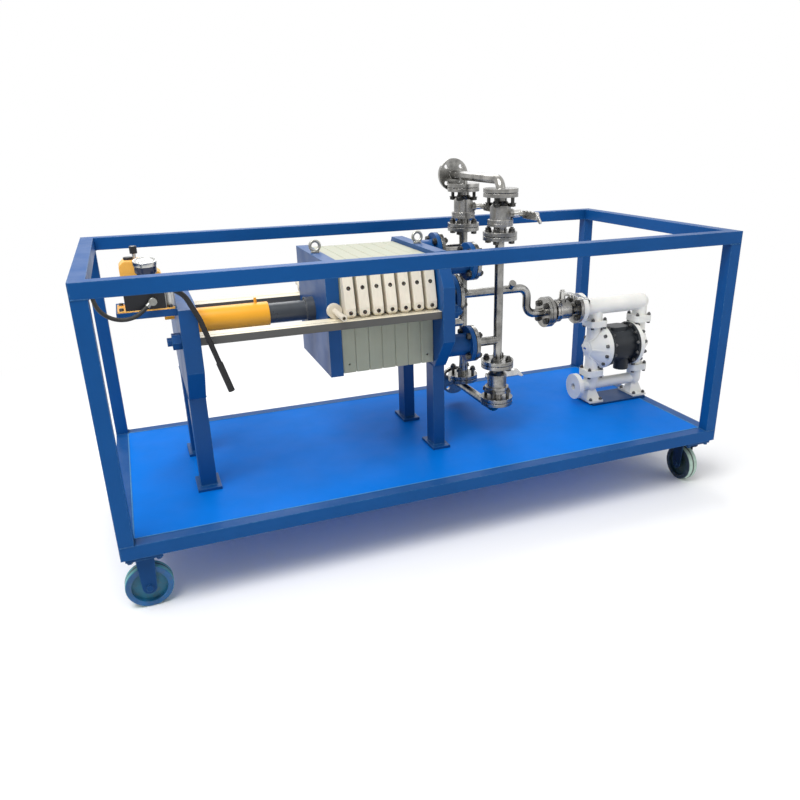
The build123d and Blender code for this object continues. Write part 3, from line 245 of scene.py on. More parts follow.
def beyond(tree, place, axis, limit):
    """A mask that is 1 where the place lies beyond a limit along X, Y or Z."""
    return maths(tree, "GREATER_THAN", axis_of(tree, place, axis), limit)


def distance(tree, offset, keep):
    """How far an offset reaches from an axis; keep has 0 along the axis and 1 across it."""
    flat = vector_maths(tree, "MULTIPLY", offset, keep)["Vector"]
    return vector_maths(tree, "LENGTH", flat)["Value"]


def seen_straight(path):
    """A mask that is 1 for camera and glossy rays."""
    tree = path.id_data
    return maths(tree, "MAXIMUM", path.outputs["Is Camera Ray"], path.outputs["Is Glossy Ray"])


def shader_group(name, inputs, outputs):
    """An empty shader node group with its named sockets."""
    group = bpy.data.node_groups.new(name, "ShaderNodeTree")
    for label, kind, default in inputs:
        socket = group.interface.new_socket(name=label, in_out="INPUT", socket_type="NodeSocket" + kind)
        socket.default_value = default
    for label, kind in outputs:
        group.interface.new_socket(name=label, in_out="OUTPUT", socket_type="NodeSocket" + kind)
    return group, group.nodes.new("NodeGroupInput").outputs, group.nodes.new("NodeGroupOutput").inputs


def mottle_group():
    """Slow and fast cloudiness between 0 and 1."""
    group, given, put = shader_group(
        "Mottle", [("Vector", "Vector", (0, 0, 0)), ("Scale", "Float", 5.0), ("Low", "Float", 0.35),
                   ("High", "Float", 0.65)], [("Value", "Float")])
    cloud = add_node(group, "ShaderNodeTexNoise", {
        "Vector": given["Vector"], "Scale": given["Scale"], "Detail": 5.0, "Roughness": 0.6})
    spread = span(group, cloud.outputs["Fac"], start=given["Low"], end=given["High"])
    group.links.new(spread, put["Value"])
    return group


def edge_group():
    """Where the surface turns a sharp corner, from 0 to 1, with the corner's rounded normal."""
    group, given, put = shader_group(
        "Edge Catch", [("Radius", "Float", 0.002)], [("Mask", "Float"), ("Normal", "Vector")])
    rounded = add_node(group, "ShaderNodeBevel", {"Radius": given["Radius"]}, samples=4).outputs["Normal"]
    flat = add_node(group, "ShaderNodeNewGeometry").outputs["Normal"]
    turn = vector_maths(group, "DOT_PRODUCT", rounded, flat)["Value"]
    group.links.new(span(group, turn, start=0.995, end=0.9), put["Mask"])
    group.links.new(rounded, put["Normal"])
    return group


def grain_group():
    """Fine lines drawn along one direction, as brushing, rolling and turning leave."""
    group, given, put = shader_group(
        "Drawn Grain", [("Vector", "Vector", (0, 0, 0)), ("Stretch", "Vector", (40, 40, 900))],
        [("Value", "Float")])
    stretched = vector_maths(group, "MULTIPLY", given["Vector"], given["Stretch"])["Vector"]
    lines = add_node(group, "ShaderNodeTexNoise", {"Vector": stretched, "Scale": 1.0, "Detail": 3.0})
    group.links.new(lines.outputs["Fac"], put["Value"])
    return group


def dust_group():
    """Dust that settles on faces that look up, broken up by cloudiness."""
    group, given, put = shader_group(
        "Settled Dust", [("Vector", "Vector", (0, 0, 0)), ("Amount", "Float", 0.3)], [("Mask", "Float")])
    cloud = add_node(group, "ShaderNodeTexNoise", {
        "Vector": given["Vector"], "Scale": 9.0, "Detail": 8.0, "Roughness": 0.7}).outputs["Fac"]
    both = maths(group, "MULTIPLY", span(group, upward(group), start=0.3),
                 span(group, cloud, start=0.42, end=0.75))
    group.links.new(maths(group, "MULTIPLY", both, given["Amount"]), put["Mask"])
    return group


GROUP_MAKERS = {"Mottle": mottle_group, "Edge Catch": edge_group, "Drawn Grain": grain_group,
                "Settled Dust": dust_group}
GROUPS = {}


def use_group(tree, name, **sockets):
    """The outputs of a placed copy of one of the shared groups, with its inputs fed."""
    if name not in GROUPS:
        GROUPS[name] = GROUP_MAKERS[name]()
    node = add_node(tree, "ShaderNodeGroup", node_tree=GROUPS[name])
    for label, value in sockets.items():
        feed(tree, node.inputs[label], value)
    return node.outputs


def mottle(tree, place, scale, low=0.35, high=0.65):
    """Cloudiness of a scale."""
    return use_group(tree, "Mottle", Vector=place, Scale=scale, Low=low, High=high)["Value"]


def drawn(tree, place, stretch):
    """Drawn lines, fine where the stretch is large."""
    return use_group(tree, "Drawn Grain", Vector=place, Stretch=stretch)["Value"]


def blend_colours(tree, mask, one, two):
    """The colour one where the mask is 0 and two where it is 1."""
    node = add_node(tree, "ShaderNodeMix", {0: mask}, data_type="RGBA")
    colour_inputs = [socket for socket in node.inputs if socket.type == "RGBA"]
    for socket, value in zip(colour_inputs, (one, two)):
        feed(tree, socket, value if isinstance(value, bpy.types.NodeSocket) else (*value, 1.0))
    return [socket for socket in node.outputs if socket.type == "RGBA"][0]


def start_material(name):
    """A new material with its principled shader and object coordinates."""
    material = bpy.data.materials.new(name)
    material.use_nodes = True
    return (material, *parts_of(material))


def parts_of(material):
    """A material's node tree, its shader and an object coordinate."""
    tree = material.node_tree
    return tree, tree.nodes["Principled BSDF"], add_node(tree, "ShaderNodeTexCoord").outputs["Object"]


def coat(tree, shader, colour, rough, bump, edge, plain):
    """Feed colour, roughness and a bump over rounded corners to the shader, and set its plain values."""
    height, strength, reach = bump
    relief = add_node(tree, "ShaderNodeBump", {
        "Height": height, "Strength": strength, "Distance": reach, "Normal": edge["Normal"]})
    for name, socket in (("Base Color", colour), ("Roughness", rough), ("Normal", relief.outputs["Normal"])):
        tree.links.new(socket, shader.inputs[name])
    for name, value in plain.items():
        shader.inputs[name].default_value = value


def deeper(colour, share=0.72):
    """The same colour, darker."""
    return tuple(share * value for value in colour)


def paint(name, colour, deep, rough=0.38, peel=0.2, dust=0.05, edge_wear_and_highlight=(0.12, 0.30, 0.52), gloss=0.12):
    """Sprayed paint: cloudy colour, orange peel, corners paler partly from edge wear and partly as a painted
    highlight, and a little dust.
    """
    material, tree, shader, place = start_material(name)
    edge = use_group(tree, "Edge Catch", Radius=0.0045)
    settled = use_group(tree, "Settled Dust", Vector=place, Amount=dust)["Mask"]
    body = blend_colours(tree, mottle(tree, place, 2.3), deep, colour)
    flecks = span(tree, mottle(tree, place, 60.0, 0.45, 0.7), 0.15, 0.7)
    # Paler corners: flecked edge wear together with a painted highlight along every edge.
    edged = blend_colours(tree, maths(tree, "MULTIPLY", edge["Mask"], flecks), body, edge_wear_and_highlight)
    coat(tree, shader, blend_colours(tree, settled, edged, (0.42, 0.46, 0.50)),
         span(tree, mottle(tree, place, 7.0), rough * 0.88, rough * 1.15),
         (mottle(tree, place, 220.0, 0.2, 0.8), peel, 0.0004), edge, {"Specular IOR Level": gloss})
    return material


def steel(name, colour, dark, rough, heat=0.0):
    """Stainless or plated steel: drawn grain, smudges, darker pits, corners brightened as a painted highlight
    and a faint warm stain.
    """
    material, tree, shader, place = start_material(name)
    grain = drawn(tree, place, (60, 60, 8))
    smudge = mottle(tree, place, 16.0, 0.35, 0.75)
    edge = use_group(tree, "Edge Catch", Radius=0.0015)
    stain = span(tree, mottle(tree, place, 4.0, 0.5, 0.8), 0.0, heat)
    warm = blend_colours(tree, stain, blend_colours(tree, smudge, dark, colour), (0.24, 0.19, 0.13))
    # Painted highlight: corners brightened towards a paler copy of the steel colour.
    painted_edge_highlight = tuple(min(1.0, 1.9 * share) for share in colour)
    edged = blend_colours(tree, span(tree, edge["Mask"], 0.0, 0.6), warm, painted_edge_highlight)
    dull = maths(tree, "ADD", span(tree, grain, rough * 0.6, rough * 1.2), span(tree, smudge, 0.12, 0.0))
    coat(tree, shader, edged, dull, (grain, 0.18, 0.0003), edge, {"Metallic": 1.0})
    return material


def moulded(name, colour, deep, rough, subsurface=0.0, dust=0.08):
    """Moulded plastic or rubber: fine skin, slow colour drift and rounded corners, painted paler as a
    highlight.
    """
    material, tree, shader, place = start_material(name)
    edge = use_group(tree, "Edge Catch", Radius=0.0018)
    settled = use_group(tree, "Settled Dust", Vector=place, Amount=dust)["Mask"]
    body = blend_colours(tree, mottle(tree, place, 3.5), deep, colour)
    # Painted highlight: corners paler than the plastic itself.
    pale = tuple(min(1.0, 1.25 * share + 0.02) for share in colour)
    edged = blend_colours(tree, span(tree, edge["Mask"], 0.0, 0.35), body, pale)
    coat(tree, shader, blend_colours(tree, settled, edged, (0.5, 0.5, 0.48)),
         span(tree, mottle(tree, place, 30.0), rough * 0.8, rough * 1.2),
         (mottle(tree, place, 350.0, 0.2, 0.8), 0.2, 0.0003), edge,
         {"Subsurface Weight": subsurface, "Specular IOR Level": 0.3})
    return material


def plate_material(name, body, top, lug):
    """Pressed filter plate: grey green edges, tops painted paler as lit from above, and cream lugs beyond the
    plate's sides.
    """
    material, tree, shader, place = start_material(name)
    reach = maths(tree, "ABSOLUTE", axis_of(tree, place, "Y"))
    on_lug = maths(tree, "GREATER_THAN", reach, LUG_START)
    on_top = maths(tree, "GREATER_THAN", upward(tree), 0.6)
    cloud = mottle(tree, place, 5.0)
    # Painted light: faces that look up take the paler top colour.
    painted_lit_tops = blend_colours(tree, on_top, blend_colours(tree, cloud, deeper(body, 0.88), body), top)
    skin = blend_colours(tree, on_lug, painted_lit_tops, blend_colours(tree, cloud, deeper(lug, 0.88), lug))
    edge = use_group(tree, "Edge Catch", Radius=0.0030)
    # Paler corners: partly edge wear, partly a painted highlight.
    edge_wear_and_highlight = blend_colours(tree, span(tree, edge["Mask"], 0.0, 0.35), skin, (0.80, 0.77, 0.66))
    streak = span(tree, drawn(tree, place, (160, 160, 5)), 0.0, 0.22)
    coat(tree, shader, blend_colours(tree, streak, edge_wear_and_highlight, (0.20, 0.20, 0.16)),
         span(tree, drawn(tree, place, (120, 120, 14)), 0.38, 0.62),
         (mottle(tree, place, 260.0, 0.2, 0.8), 0.2, 0.0003), edge,
         {"Subsurface Weight": 0.04, "Specular IOR Level": 0.25})
    return material


def bar_material(name, top, side):
    """Side bar: a pale strip on the top face, and sides darkened to dull grey as painted shade."""
    material, tree, shader, place = start_material(name)
    scuff = drawn(tree, place, (3, 260, 120))
    marks = span(tree, scuff, 0.0, 0.5)
    pale = blend_colours(tree, marks, top, deeper(top))
    dull = blend_colours(tree, marks, side, deeper(side, 0.6))
    # The sides' dark grey is painted shade; faces that look up take the pale strip colour.
    on_top = maths(tree, "GREATER_THAN", upward(tree), 0.5)
    coat(tree, shader, blend_colours(tree, on_top, dull, pale), span(tree, scuff, 0.3, 0.55),
         (scuff, 0.15, 0.0003), use_group(tree, "Edge Catch", Radius=0.0025), {"Metallic": 0.15})
    return material


def wheel_material(name, centre, axis, tread, ring, web):
    """Caster wheel by the distance from its axle: a web, a side ring and a tread with a dark line painted as
    the shade in a groove.
    """
    material, tree, shader, place = start_material(name)
    offset = vector_maths(tree, "SUBTRACT", place, centre)["Vector"]
    radius = distance(tree, offset, (0, 1, 1) if axis == "X" else (1, 0, 1))
    cloud = mottle(tree, place, 14.0)
    tyre = blend_colours(tree, cloud, deeper(ring, 0.6), ring)
    core = blend_colours(tree, cloud, deeper(web, 0.6), web)
    # Painted shade: a dark line round the middle of the tread stands for the shade in a groove.
    groove = maths(tree, "LESS_THAN", maths(tree, "ABSOLUTE", axis_of(tree, offset, axis)), WHEEL_GROOVE)
    tread_with_groove_shade = blend_colours(tree, groove, tread, deeper(tread, 0.15))
    shade = core
    for limit, outer in ((WHEEL_RIM, tyre), (WHEEL_TREAD, tread_with_groove_shade)):
        past = span(tree, radius, start=limit - WHEEL_BLEND, end=limit + WHEEL_BLEND)
        shade = blend_colours(tree, past, shade, outer)
    grime = mottle(tree, place, 45.0, 0.5, 0.75)
    dirty = blend_colours(tree, span(tree, grime, 0.0, 0.45), shade, (0.10, 0.10, 0.09))
    coat(tree, shader, dirty, span(tree, cloud, 0.35, 0.6), (grime, 0.25, 0.0004),
         use_group(tree, "Edge Catch", Radius=0.0015), {})
    return material


def recolour(material, mask, colour, metallic=0.0):
    """Another colour and metallic share under a mask, over what the material has."""
    tree = material.node_tree
    shader = tree.nodes["Principled BSDF"]
    under = shader.inputs["Base Color"].links[0].from_socket
    tree.links.new(blend_colours(tree, mask, under, colour), shader.inputs["Base Color"])
    if metallic > 0:
        tree.links.new(maths(tree, "MULTIPLY", mask, metallic), shader.inputs["Metallic"])


def finish_nodes(material, *nodes):
    """Give CAD nodes their material."""
    for node in nodes:
        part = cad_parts[node]
        if not part.material_slots:
            part.data.materials.append(material)
        for slot in part.material_slots:
            slot.material = material


def settle(name, mesh, material, sharp=30.0, body="frame"):
    """Make a piece of a mesh that is already in place, give it its material, and tie it to its body."""
    piece = bpy.data.objects.new(name, mesh)
    bpy.context.scene.collection.objects.link(piece)
    mesh.materials.clear()
    mesh.materials.append(material)
    mesh.shade_smooth()
    mesh.set_sharp_from_angle(angle=math.radians(sharp))
    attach(piece, body)
    return piece


def facing(axis):
    """The rotation from upright to an axis."""
    return Vector(UP).rotation_difference(Vector(axis)).to_matrix()


def lathe(bm, profile, origin, axis, steps):
    """Turn a profile of (radius, height) round an axis; a radius of zero closes the end."""
    turn = facing(axis)
    rings = []
    for radius, height in profile:
        angles = [math.tau * step / steps for step in range(steps if radius else 1)]
        rings.append([bm.verts.new(Vector(origin) + turn @ Vector(
            (radius * math.cos(angle), radius * math.sin(angle), height))) for angle in angles])
    for lower, upper in zip(rings, rings[1:]):
        for step in range(steps):
            corners = [lower[step % len(lower)], lower[(step + 1) % len(lower)],
                       upper[(step + 1) % len(upper)], upper[step % len(upper)]]
            corners = list(dict.fromkeys(corners))
            if len(corners) > 2:
                bm.faces.new(corners)


def closed_mesh(name, bm):
    """A mesh from a bmesh, with its doubles merged and its faces turned outwards."""
    bmesh.ops.remove_doubles(bm, verts=bm.verts, dist=1e-6)
    bmesh.ops.recalc_face_normals(bm, faces=bm.faces)
    mesh = bpy.data.meshes.new(name)
    bm.to_mesh(mesh)
    bm.free()
    return mesh


def turned(name, shapes, material, steps, sharp=40.0, body="frame"):
    """A piece of turned shapes; each is its profile, its origin and its axis."""
    bm = bmesh.new()
    for profile, origin, axis in shapes:
        lathe(bm, profile, origin, axis, steps)
    return settle(name, closed_mesh(name, bm), material, sharp, body)


def slabs(name, places, material):
    """A piece of flat blocks, one for each matrix."""
    bm = bmesh.new()
    for place in places:
        bmesh.ops.create_cube(bm, size=1.0, matrix=place)
    settle(name, closed_mesh(name, bm), material)


def node_tree(name, inputs):
    """An empty Geometry Nodes tree that takes points and gives a mesh."""
    tree = bpy.data.node_groups.new(name, "GeometryNodeTree")
    tree.interface.new_socket(name="Points", in_out="INPUT", socket_type="NodeSocketGeometry")
    for label, default in inputs:
        socket = tree.interface.new_socket(name=label, in_out="INPUT", socket_type="NodeSocketFloat")
        socket.default_value = default
    tree.interface.new_socket(name="Material", in_out="INPUT", socket_type="NodeSocketMaterial")
    tree.interface.new_socket(name="Mesh", in_out="OUTPUT", socket_type="NodeSocketGeometry")
    return tree, tree.nodes.new("NodeGroupInput").outputs, tree.nodes.new("NodeGroupOutput").inputs


def end_tree(tree, copies, given, put):
    """Realize a tree's copies, give them the material and put them out."""
    real = add_node(tree, "GeometryNodeRealizeInstances", {"Geometry": copies.outputs[0]})
    painted = add_node(tree, "GeometryNodeSetMaterial", {
        "Geometry": real.outputs[0], "Material": given["Material"]})
    tree.links.new(painted.outputs[0], put["Mesh"])
    return tree


def grow(tree, points, axes, values):
    """The mesh that a tree makes of points, each with the direction that its copy faces."""
    mesh = bpy.data.meshes.new(tree.name)
    mesh.from_pydata([tuple(point) for point in points], [], [])
    direction = mesh.attributes.new("facing", "FLOAT_VECTOR", "POINT")
    direction.data.foreach_set("vector", [share for axis in axes for share in axis])
    host = bpy.data.objects.new(tree.name, mesh)
    bpy.context.scene.collection.objects.link(host)
    modifier = host.modifiers.new(tree.name, "NODES")
    modifier.node_group = tree
    for item in tree.interface.items_tree:
        if item.in_out == "INPUT" and item.name in values:
            modifier[item.identifier] = values[item.name]
    grown = bpy.data.meshes.new_from_object(host.evaluated_get(bpy.context.evaluated_depsgraph_get()))
    host.modifiers.clear()
    bpy.data.objects.remove(host)
    return grown


def fastener_tree(name, through):
    """Fasteners on points: a washer and a hexagon head or nut, and through the stack a nut and stud end."""
    tree, given, put = node_tree(name, [("Stack", 0.033), ("Across", 0.024), ("Height", 0.012)])
    joined = add_node(tree, "GeometryNodeJoinGeometry")

    def stacked(stack_share, height_share):
        return maths(tree, "ADD", maths(tree, "MULTIPLY", given["Stack"], stack_share),
                     maths(tree, "MULTIPLY", given["Height"], height_share))

    def part(sides, across_share, depth, height):
        body = add_node(tree, "GeometryNodeMeshCylinder", {
            "Vertices": sides, "Radius": maths(tree, "MULTIPLY", given["Across"], across_share),
            "Depth": depth}).outputs["Mesh"]
        shift = add_node(tree, "ShaderNodeCombineXYZ", {"Z": height}).outputs[0]
        moved = add_node(tree, "GeometryNodeTransform", {"Geometry": body, "Translation": shift})
        tree.links.new(moved.outputs[0], joined.inputs[0])

    head_share, washer_share, stud_share = 0.577, 0.62, 0.30
    for sign in (-1.0, 1.0) if through else (1.0,):
        part(6, head_share, given["Height"], stacked(0.5 * sign, 0.7 * sign))
        part(16, washer_share, stacked(0.0, 0.2), stacked(0.5 * sign, 0.1 * sign))
    if through:
        part(12, stud_share, stacked(1.0, 3.1), stacked(0.0, 0.2))
    direction = add_node(tree, "GeometryNodeInputNamedAttribute", {"Name": "facing"},
                         data_type="FLOAT_VECTOR")
    turn = add_node(tree, "FunctionNodeAlignRotationToVector", {"Vector": direction.outputs[0]}, axis="Z")
    copies = add_node(tree, "GeometryNodeInstanceOnPoints", {
        "Points": given["Points"], "Instance": joined.outputs[0], "Rotation": turn.outputs[0]})
    return end_tree(tree, copies, given, put)


def weld_tree():
    """A weld bead: overlapping ripples of uneven size on points along a seam."""
    tree, given, put = node_tree("Weld Ripples", [("Size", 0.003)])
    drop = add_node(tree, "GeometryNodeMeshIcoSphere", {"Radius": 1.0, "Subdivisions": 1})
    wobble = add_node(tree, "FunctionNodeRandomValue", {2: 0.8, 3: 1.25, "Seed": 7}, data_type="FLOAT")
    copies = add_node(tree, "GeometryNodeInstanceOnPoints", {
        "Points": given["Points"], "Instance": drop.outputs["Mesh"],
        "Scale": maths(tree, "MULTIPLY", wobble.outputs[1], given["Size"])})
    return end_tree(tree, copies, given, put)


def ring_points(centre, axis, radius, count):
    """Points evenly round an axis, the first one half a step on."""
    turn = facing(axis)
    angles = [math.tau * (index + 0.5) / count for index in range(count)]
    return [Vector(centre) + turn @ Vector((radius * math.cos(angle), radius * math.sin(angle), 0))
            for angle in angles]


def seam_round(centre, axis, radius, step):
    """Points about a step apart round an axis."""
    return ring_points(centre, axis, radius, round(math.tau * radius / step))


def rectangle(x0, y0, x1, y1, z):
    """The corners of a level rectangle."""
    return [(x0, y0, z), (x1, y0, z), (x1, y1, z), (x0, y1, z)]


def line_points(corners, step):
    """Points a step apart along straight lines round the corners."""
    points = []
    for start, end in zip(corners, corners[1:] + corners[:1]):
        run = Vector(end) - Vector(start)
        count = max(1, round(run.length / step))
        points += [Vector(start) + run * index / count for index in range(count)]
    return points


def weld(name, points, material, share=1.0):
    """A piece of weld ripples along points."""
    mesh = grow(weld_tree(), points, [UP] * len(points),
                {"Size": looks()[0].weld_size * share, "Material": material})
    settle(name, mesh, material, 60.0)


def bolt_heads(name, places, axis, across, height, material):
    """A piece of bolt heads that all face one way."""
    mesh = grow(fastener_tree(name, False), places, [axis] * len(places),
                {"Stack": 0.0, "Across": across, "Height": height, "Material": material})
    settle(name, mesh, material)


def bolt_sets(name, sets, across, material):
    """A piece of through bolts; each set is its stack, its nut height, its points and their axes."""
    tree = fastener_tree(name, True)
    bm = bmesh.new()
    for stack, height, points, axes in sets:
        mesh = grow(tree, points, axes, {"Stack": stack, "Across": across, "Height": height,
                                         "Material": material})
        bm.from_mesh(mesh)
        bpy.data.meshes.remove(mesh)
    mesh = bpy.data.meshes.new(name)
    bm.to_mesh(mesh)
    bm.free()
    settle(name, mesh, material)


def bolt_rings(stack, height, rings):
    """A set of bolts on rings; each ring is its centre, its axis, its radius and its count."""
    points, axes = [], []
    for centre, axis, radius, count in rings:
        points += ring_points(centre, axis, radius, count)
        axes += [axis] * count
    return stack, height, points, axes


class PressSizes(bpy.types.PropertyGroup):
    nut_across: bpy.props.FloatProperty(
        name="Nut width", description="Width across flats of the flange bolts", default=0.024,
        min=0.01, max=0.05, subtype="DISTANCE", unit="LENGTH")
    weld_size: bpy.props.FloatProperty(
        name="Weld size", description="Half width of a weld bead", default=0.0028,
        min=0.001, max=0.01, subtype="DISTANCE", unit="LENGTH")
    weld_step: bpy.props.FloatProperty(
        name="Weld ripple", description="Distance between weld ripples", default=0.0045,
        min=0.002, max=0.02, subtype="DISTANCE", unit="LENGTH")
    hose_diameter: bpy.props.FloatProperty(
        name="Hose diameter", description="Outer diameter of the hose", default=0.014,
        min=0.006, max=0.03, subtype="DISTANCE", unit="LENGTH")


class PressColours(bpy.types.PropertyGroup):
    frame_blue: bpy.props.FloatVectorProperty(
        name="Frame paint", description="Paint of the tube frame", subtype="COLOR",
        default=(0.004, 0.074, 0.262), min=0.0, max=1.0)
    deck_blue: bpy.props.FloatVectorProperty(
        name="Deck paint", description="Paint of the deck plate", subtype="COLOR",
        default=(0.0012, 0.176, 0.70), min=0.0, max=1.0)
    press_blue: bpy.props.FloatVectorProperty(
        name="Press paint", description="Paint of the head, the beam and the ports", subtype="COLOR",
        default=(0.004, 0.068, 0.240), min=0.0, max=1.0)
    plate_body: bpy.props.FloatVectorProperty(
        name="Plate body", description="Filter plates", subtype="COLOR",
        default=(0.36, 0.385, 0.31), min=0.0, max=1.0)
    # The plate tops' colour is painted light: upper faces lighter as lit from above.
    plate_lit_top: bpy.props.FloatVectorProperty(
        name="Plate tops", description="Upper faces of the plates, painted lighter as lit from above", subtype="COLOR",
        default=(0.415, 0.425, 0.330), min=0.0, max=1.0)
    plate_lug: bpy.props.FloatVectorProperty(
        name="Plate lugs", description="Side lugs of the plates", subtype="COLOR",
        default=(0.86, 0.79, 0.66), min=0.0, max=1.0)
    cylinder_yellow: bpy.props.FloatVectorProperty(
        name="Cylinder paint", description="Paint of the closing cylinder", subtype="COLOR",
        default=(0.91, 0.415, 0.028), min=0.0, max=1.0)


def looks():
    """The sizes and the colours that the user can change."""
    return bpy.context.scene.press_sizes, bpy.context.scene.press_colours


class PRESS_OT_frame(bpy.types.Operator):
    """Paint the tube frame and the deck, and weld their joints"""
    bl_idname = "press.frame"
    bl_label = "Frame and deck"

    def execute(self, context):
        sizes, colours = looks()
        blue, deck = tuple(colours.frame_blue), tuple(colours.deck_blue)
        finish = paint("frame_paint", blue, deeper(blue, 0.85))
        finish_nodes(finish, "corner_posts", "long_rails", "cross_rails", "rail_caps", "deck_bearers")
        finish_nodes(paint("pump_base_paint", deeper(blue, 0.6), deeper(blue, 0.45)), "pump_base")
        finish_nodes(paint("deck_paint", deck, deeper(deck, 0.86), rough=0.42, peel=0.1, dust=0.0,
                           gloss=0.03), "deck")
        seams, half, step = [], TUBE / 2, sizes.weld_step
        for x, y, z in product((LONG_RAILS[0][0] + half, LONG_RAILS[1][0] - half),
                               (POSTS[0][1] + half, POSTS[1][1] - half), (POSTS[0][2], POSTS[1][2])):
            seams += line_points(rectangle(x - half, y - half, x + half, y + half, z), step)
        weld("frame_welds", seams, finish)
        (x0, y0, _), (x1, y1, top) = DECK
        # Painted highlight: the deck weld's paint is a paler blue, standing for a sheen along the deck's
        # edge.
        bead = paint("deck_bead_sheen", (0.10, 0.30, 0.56), (0.05, 0.20, 0.46), dust=0.0)
        weld("deck_weld", line_points(rectangle(x0, y0, x1, y1, top), step), bead)
        weld("press_welds", self.press_seams(step), finish)
        return {"FINISHED"}

    def press_seams(self, step):
        """Points round the legs, top and bottom, and round the necks of the ports."""
        points = []
        for beam, side, z in product((END_BEAM, HEAD), SIDES, (DECK[1][2] + FOOT_THICKNESS, HEAD[0][2])):
            outer, inner = side * LEG_OUTER, side * (LEG_OUTER - LEG_WIDTH)
            points += line_points(rectangle(beam[0][0], outer, beam[1][0], inner, z), step)
        face = HEAD[1][0]
        for side, rise in QUARTERS:
            points += seam_round((face, side * RISER_Y, PRESS_Z + rise * PORT_RISE), ALONG, PORT_NECK, step)
        return points + seam_round((face, 0, PRESS_Z), ALONG, FEED_NECK, step)


class PRESS_OT_casters(bpy.types.Operator):
    """Finish the wheels and forks, and bolt the casters to the frame"""
    bl_idname = "press.casters"
    bl_label = "Casters"

    def execute(self, context):
        blue = tuple(looks()[1].frame_blue)
        finish = paint("caster_paint", deeper(blue, 0.8), deeper(blue, 0.6), rough=0.4)
        finish_nodes(finish, "rigid_casters", "swivel_plates")
        finish_nodes(paint("fork_paint", (0.007, 0.024, 0.070), (0.004, 0.014, 0.045), rough=0.4, gloss=0.1),
                     "swivel_fork_front", "swivel_fork_back")
        # Painted shade: the swivel wheels' near-black ring and web stand for their sides in shadow.
        wheels = (("rigid_wheel", "Y", (0.06, 0.32, 0.36), (0.004, 0.115, 0.33), (0.004, 0.15, 0.26)),
                  ("swivel_wheel", "X", (0.40, 0.55, 0.47), (0.012, 0.030, 0.055), (0.015, 0.05, 0.06)))
        for (kind, axis, *shades), end in product(wheels, ("_front", "_back")):
            node = kind + end
            finish_nodes(wheel_material(node + "_rubber", tuple(middle(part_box(node))), axis, *shades), node)
        low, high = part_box("swivel_plates")
        x, y = (low[0] + high[0]) / 2, high[1] - CASTER_PLATE_WIDTH / 2
        places = [(side_x * x + step_x * CASTER_BOLT_X, side_y * y + step_y * CASTER_BOLT_Y, low[2])
                  for side_x, side_y, step_x, step_y in product(SIDES, repeat=4)]
        bolt_heads("caster_bolts", places, DOWN, CASTER_BOLT_ACROSS, CASTER_BOLT_HEIGHT, finish)
        return {"FINISHED"}


class PRESS_OT_press(bpy.types.Operator):
    """Finish the head, the end beam, the bars, the follower and the cylinder"""
    bl_idname = "press.press"
    bl_label = "Press"

    def execute(self, context):
        colours = looks()[1]
        blue, yellow = tuple(colours.press_blue), tuple(colours.cylinder_yellow)
        finish_nodes(paint("press_paint", blue, deeper(blue, 0.85), gloss=0.2),
                     "end_beam", "end_legs", "fixed_head", "head_legs", "follower_plate", "bar_nuts",
                     "pump_bracket", "head_ports")
        finish_nodes(steel("zinc_plating", (0.50, 0.50, 0.47), (0.26, 0.26, 0.24), rough=0.3),
                     "follower_eye", "head_eye")
        # The bar's dark side colour is painted shade.
        finish_nodes(bar_material("bar_steel", (0.84, 0.77, 0.60), (0.088, 0.088, 0.084)), "side_bars")
        finish_nodes(moulded("grip_ivory", (0.74, 0.68, 0.56), (0.60, 0.54, 0.43), 0.4), "follower_rollers")
        # Its pale edge colour is partly wear, partly a painted highlight.
        finish_nodes(paint("cylinder_paint", yellow, deeper(yellow, 0.88), rough=0.32,
                           edge_wear_and_highlight=(0.95, 0.62, 0.22), gloss=0.3), "cylinder_barrel")
        # Its grey edge colour is partly wear, partly a painted highlight.
        finish_nodes(paint("plunger_black", (0.060, 0.068, 0.078), (0.035, 0.040, 0.046), rough=0.28,
                           edge_wear_and_highlight=(0.3, 0.3, 0.3), gloss=0.4), "plunger")
        return {"FINISHED"}


class PRESS_OT_plates(bpy.types.Operator):
    """Finish the filter plates, with dark rings in their lug holes painted as the shade inside wider holes"""
    bl_idname = "press.plates"
    bl_label = "Filter plates"

    def execute(self, context):
        colours = looks()[1]
        # The plates' top colour is painted light on their upper faces.
        finish = plate_material("plate_plastic", tuple(colours.plate_body), tuple(colours.plate_lit_top),
                                tuple(colours.plate_lug))
        # Painted shade: near-black rings round the lug holes stand for the shade inside wider holes.
        dark = moulded("lug_hole_shade", (0.016, 0.016, 0.017), (0.009, 0.009, 0.010), 0.6, dust=0.0)
        for number in range(1, PLATE_COUNT + 1):
            node = f"filter_plate_{number}"
            finish_nodes(finish, node)
            x = middle(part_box(node)).x
            rings = [(LUG_SHADE_RING, (x, side * reach, LUG_BASE + rise), (0, side * out, up))
                     for side in SIDES for rise, reach, (out, up) in LUG_HOLES]
            turned(f"lug_hole_shade_rings_{number}", rings, dark, 24, body=f"plate_{number}")
        return {"FINISHED"}


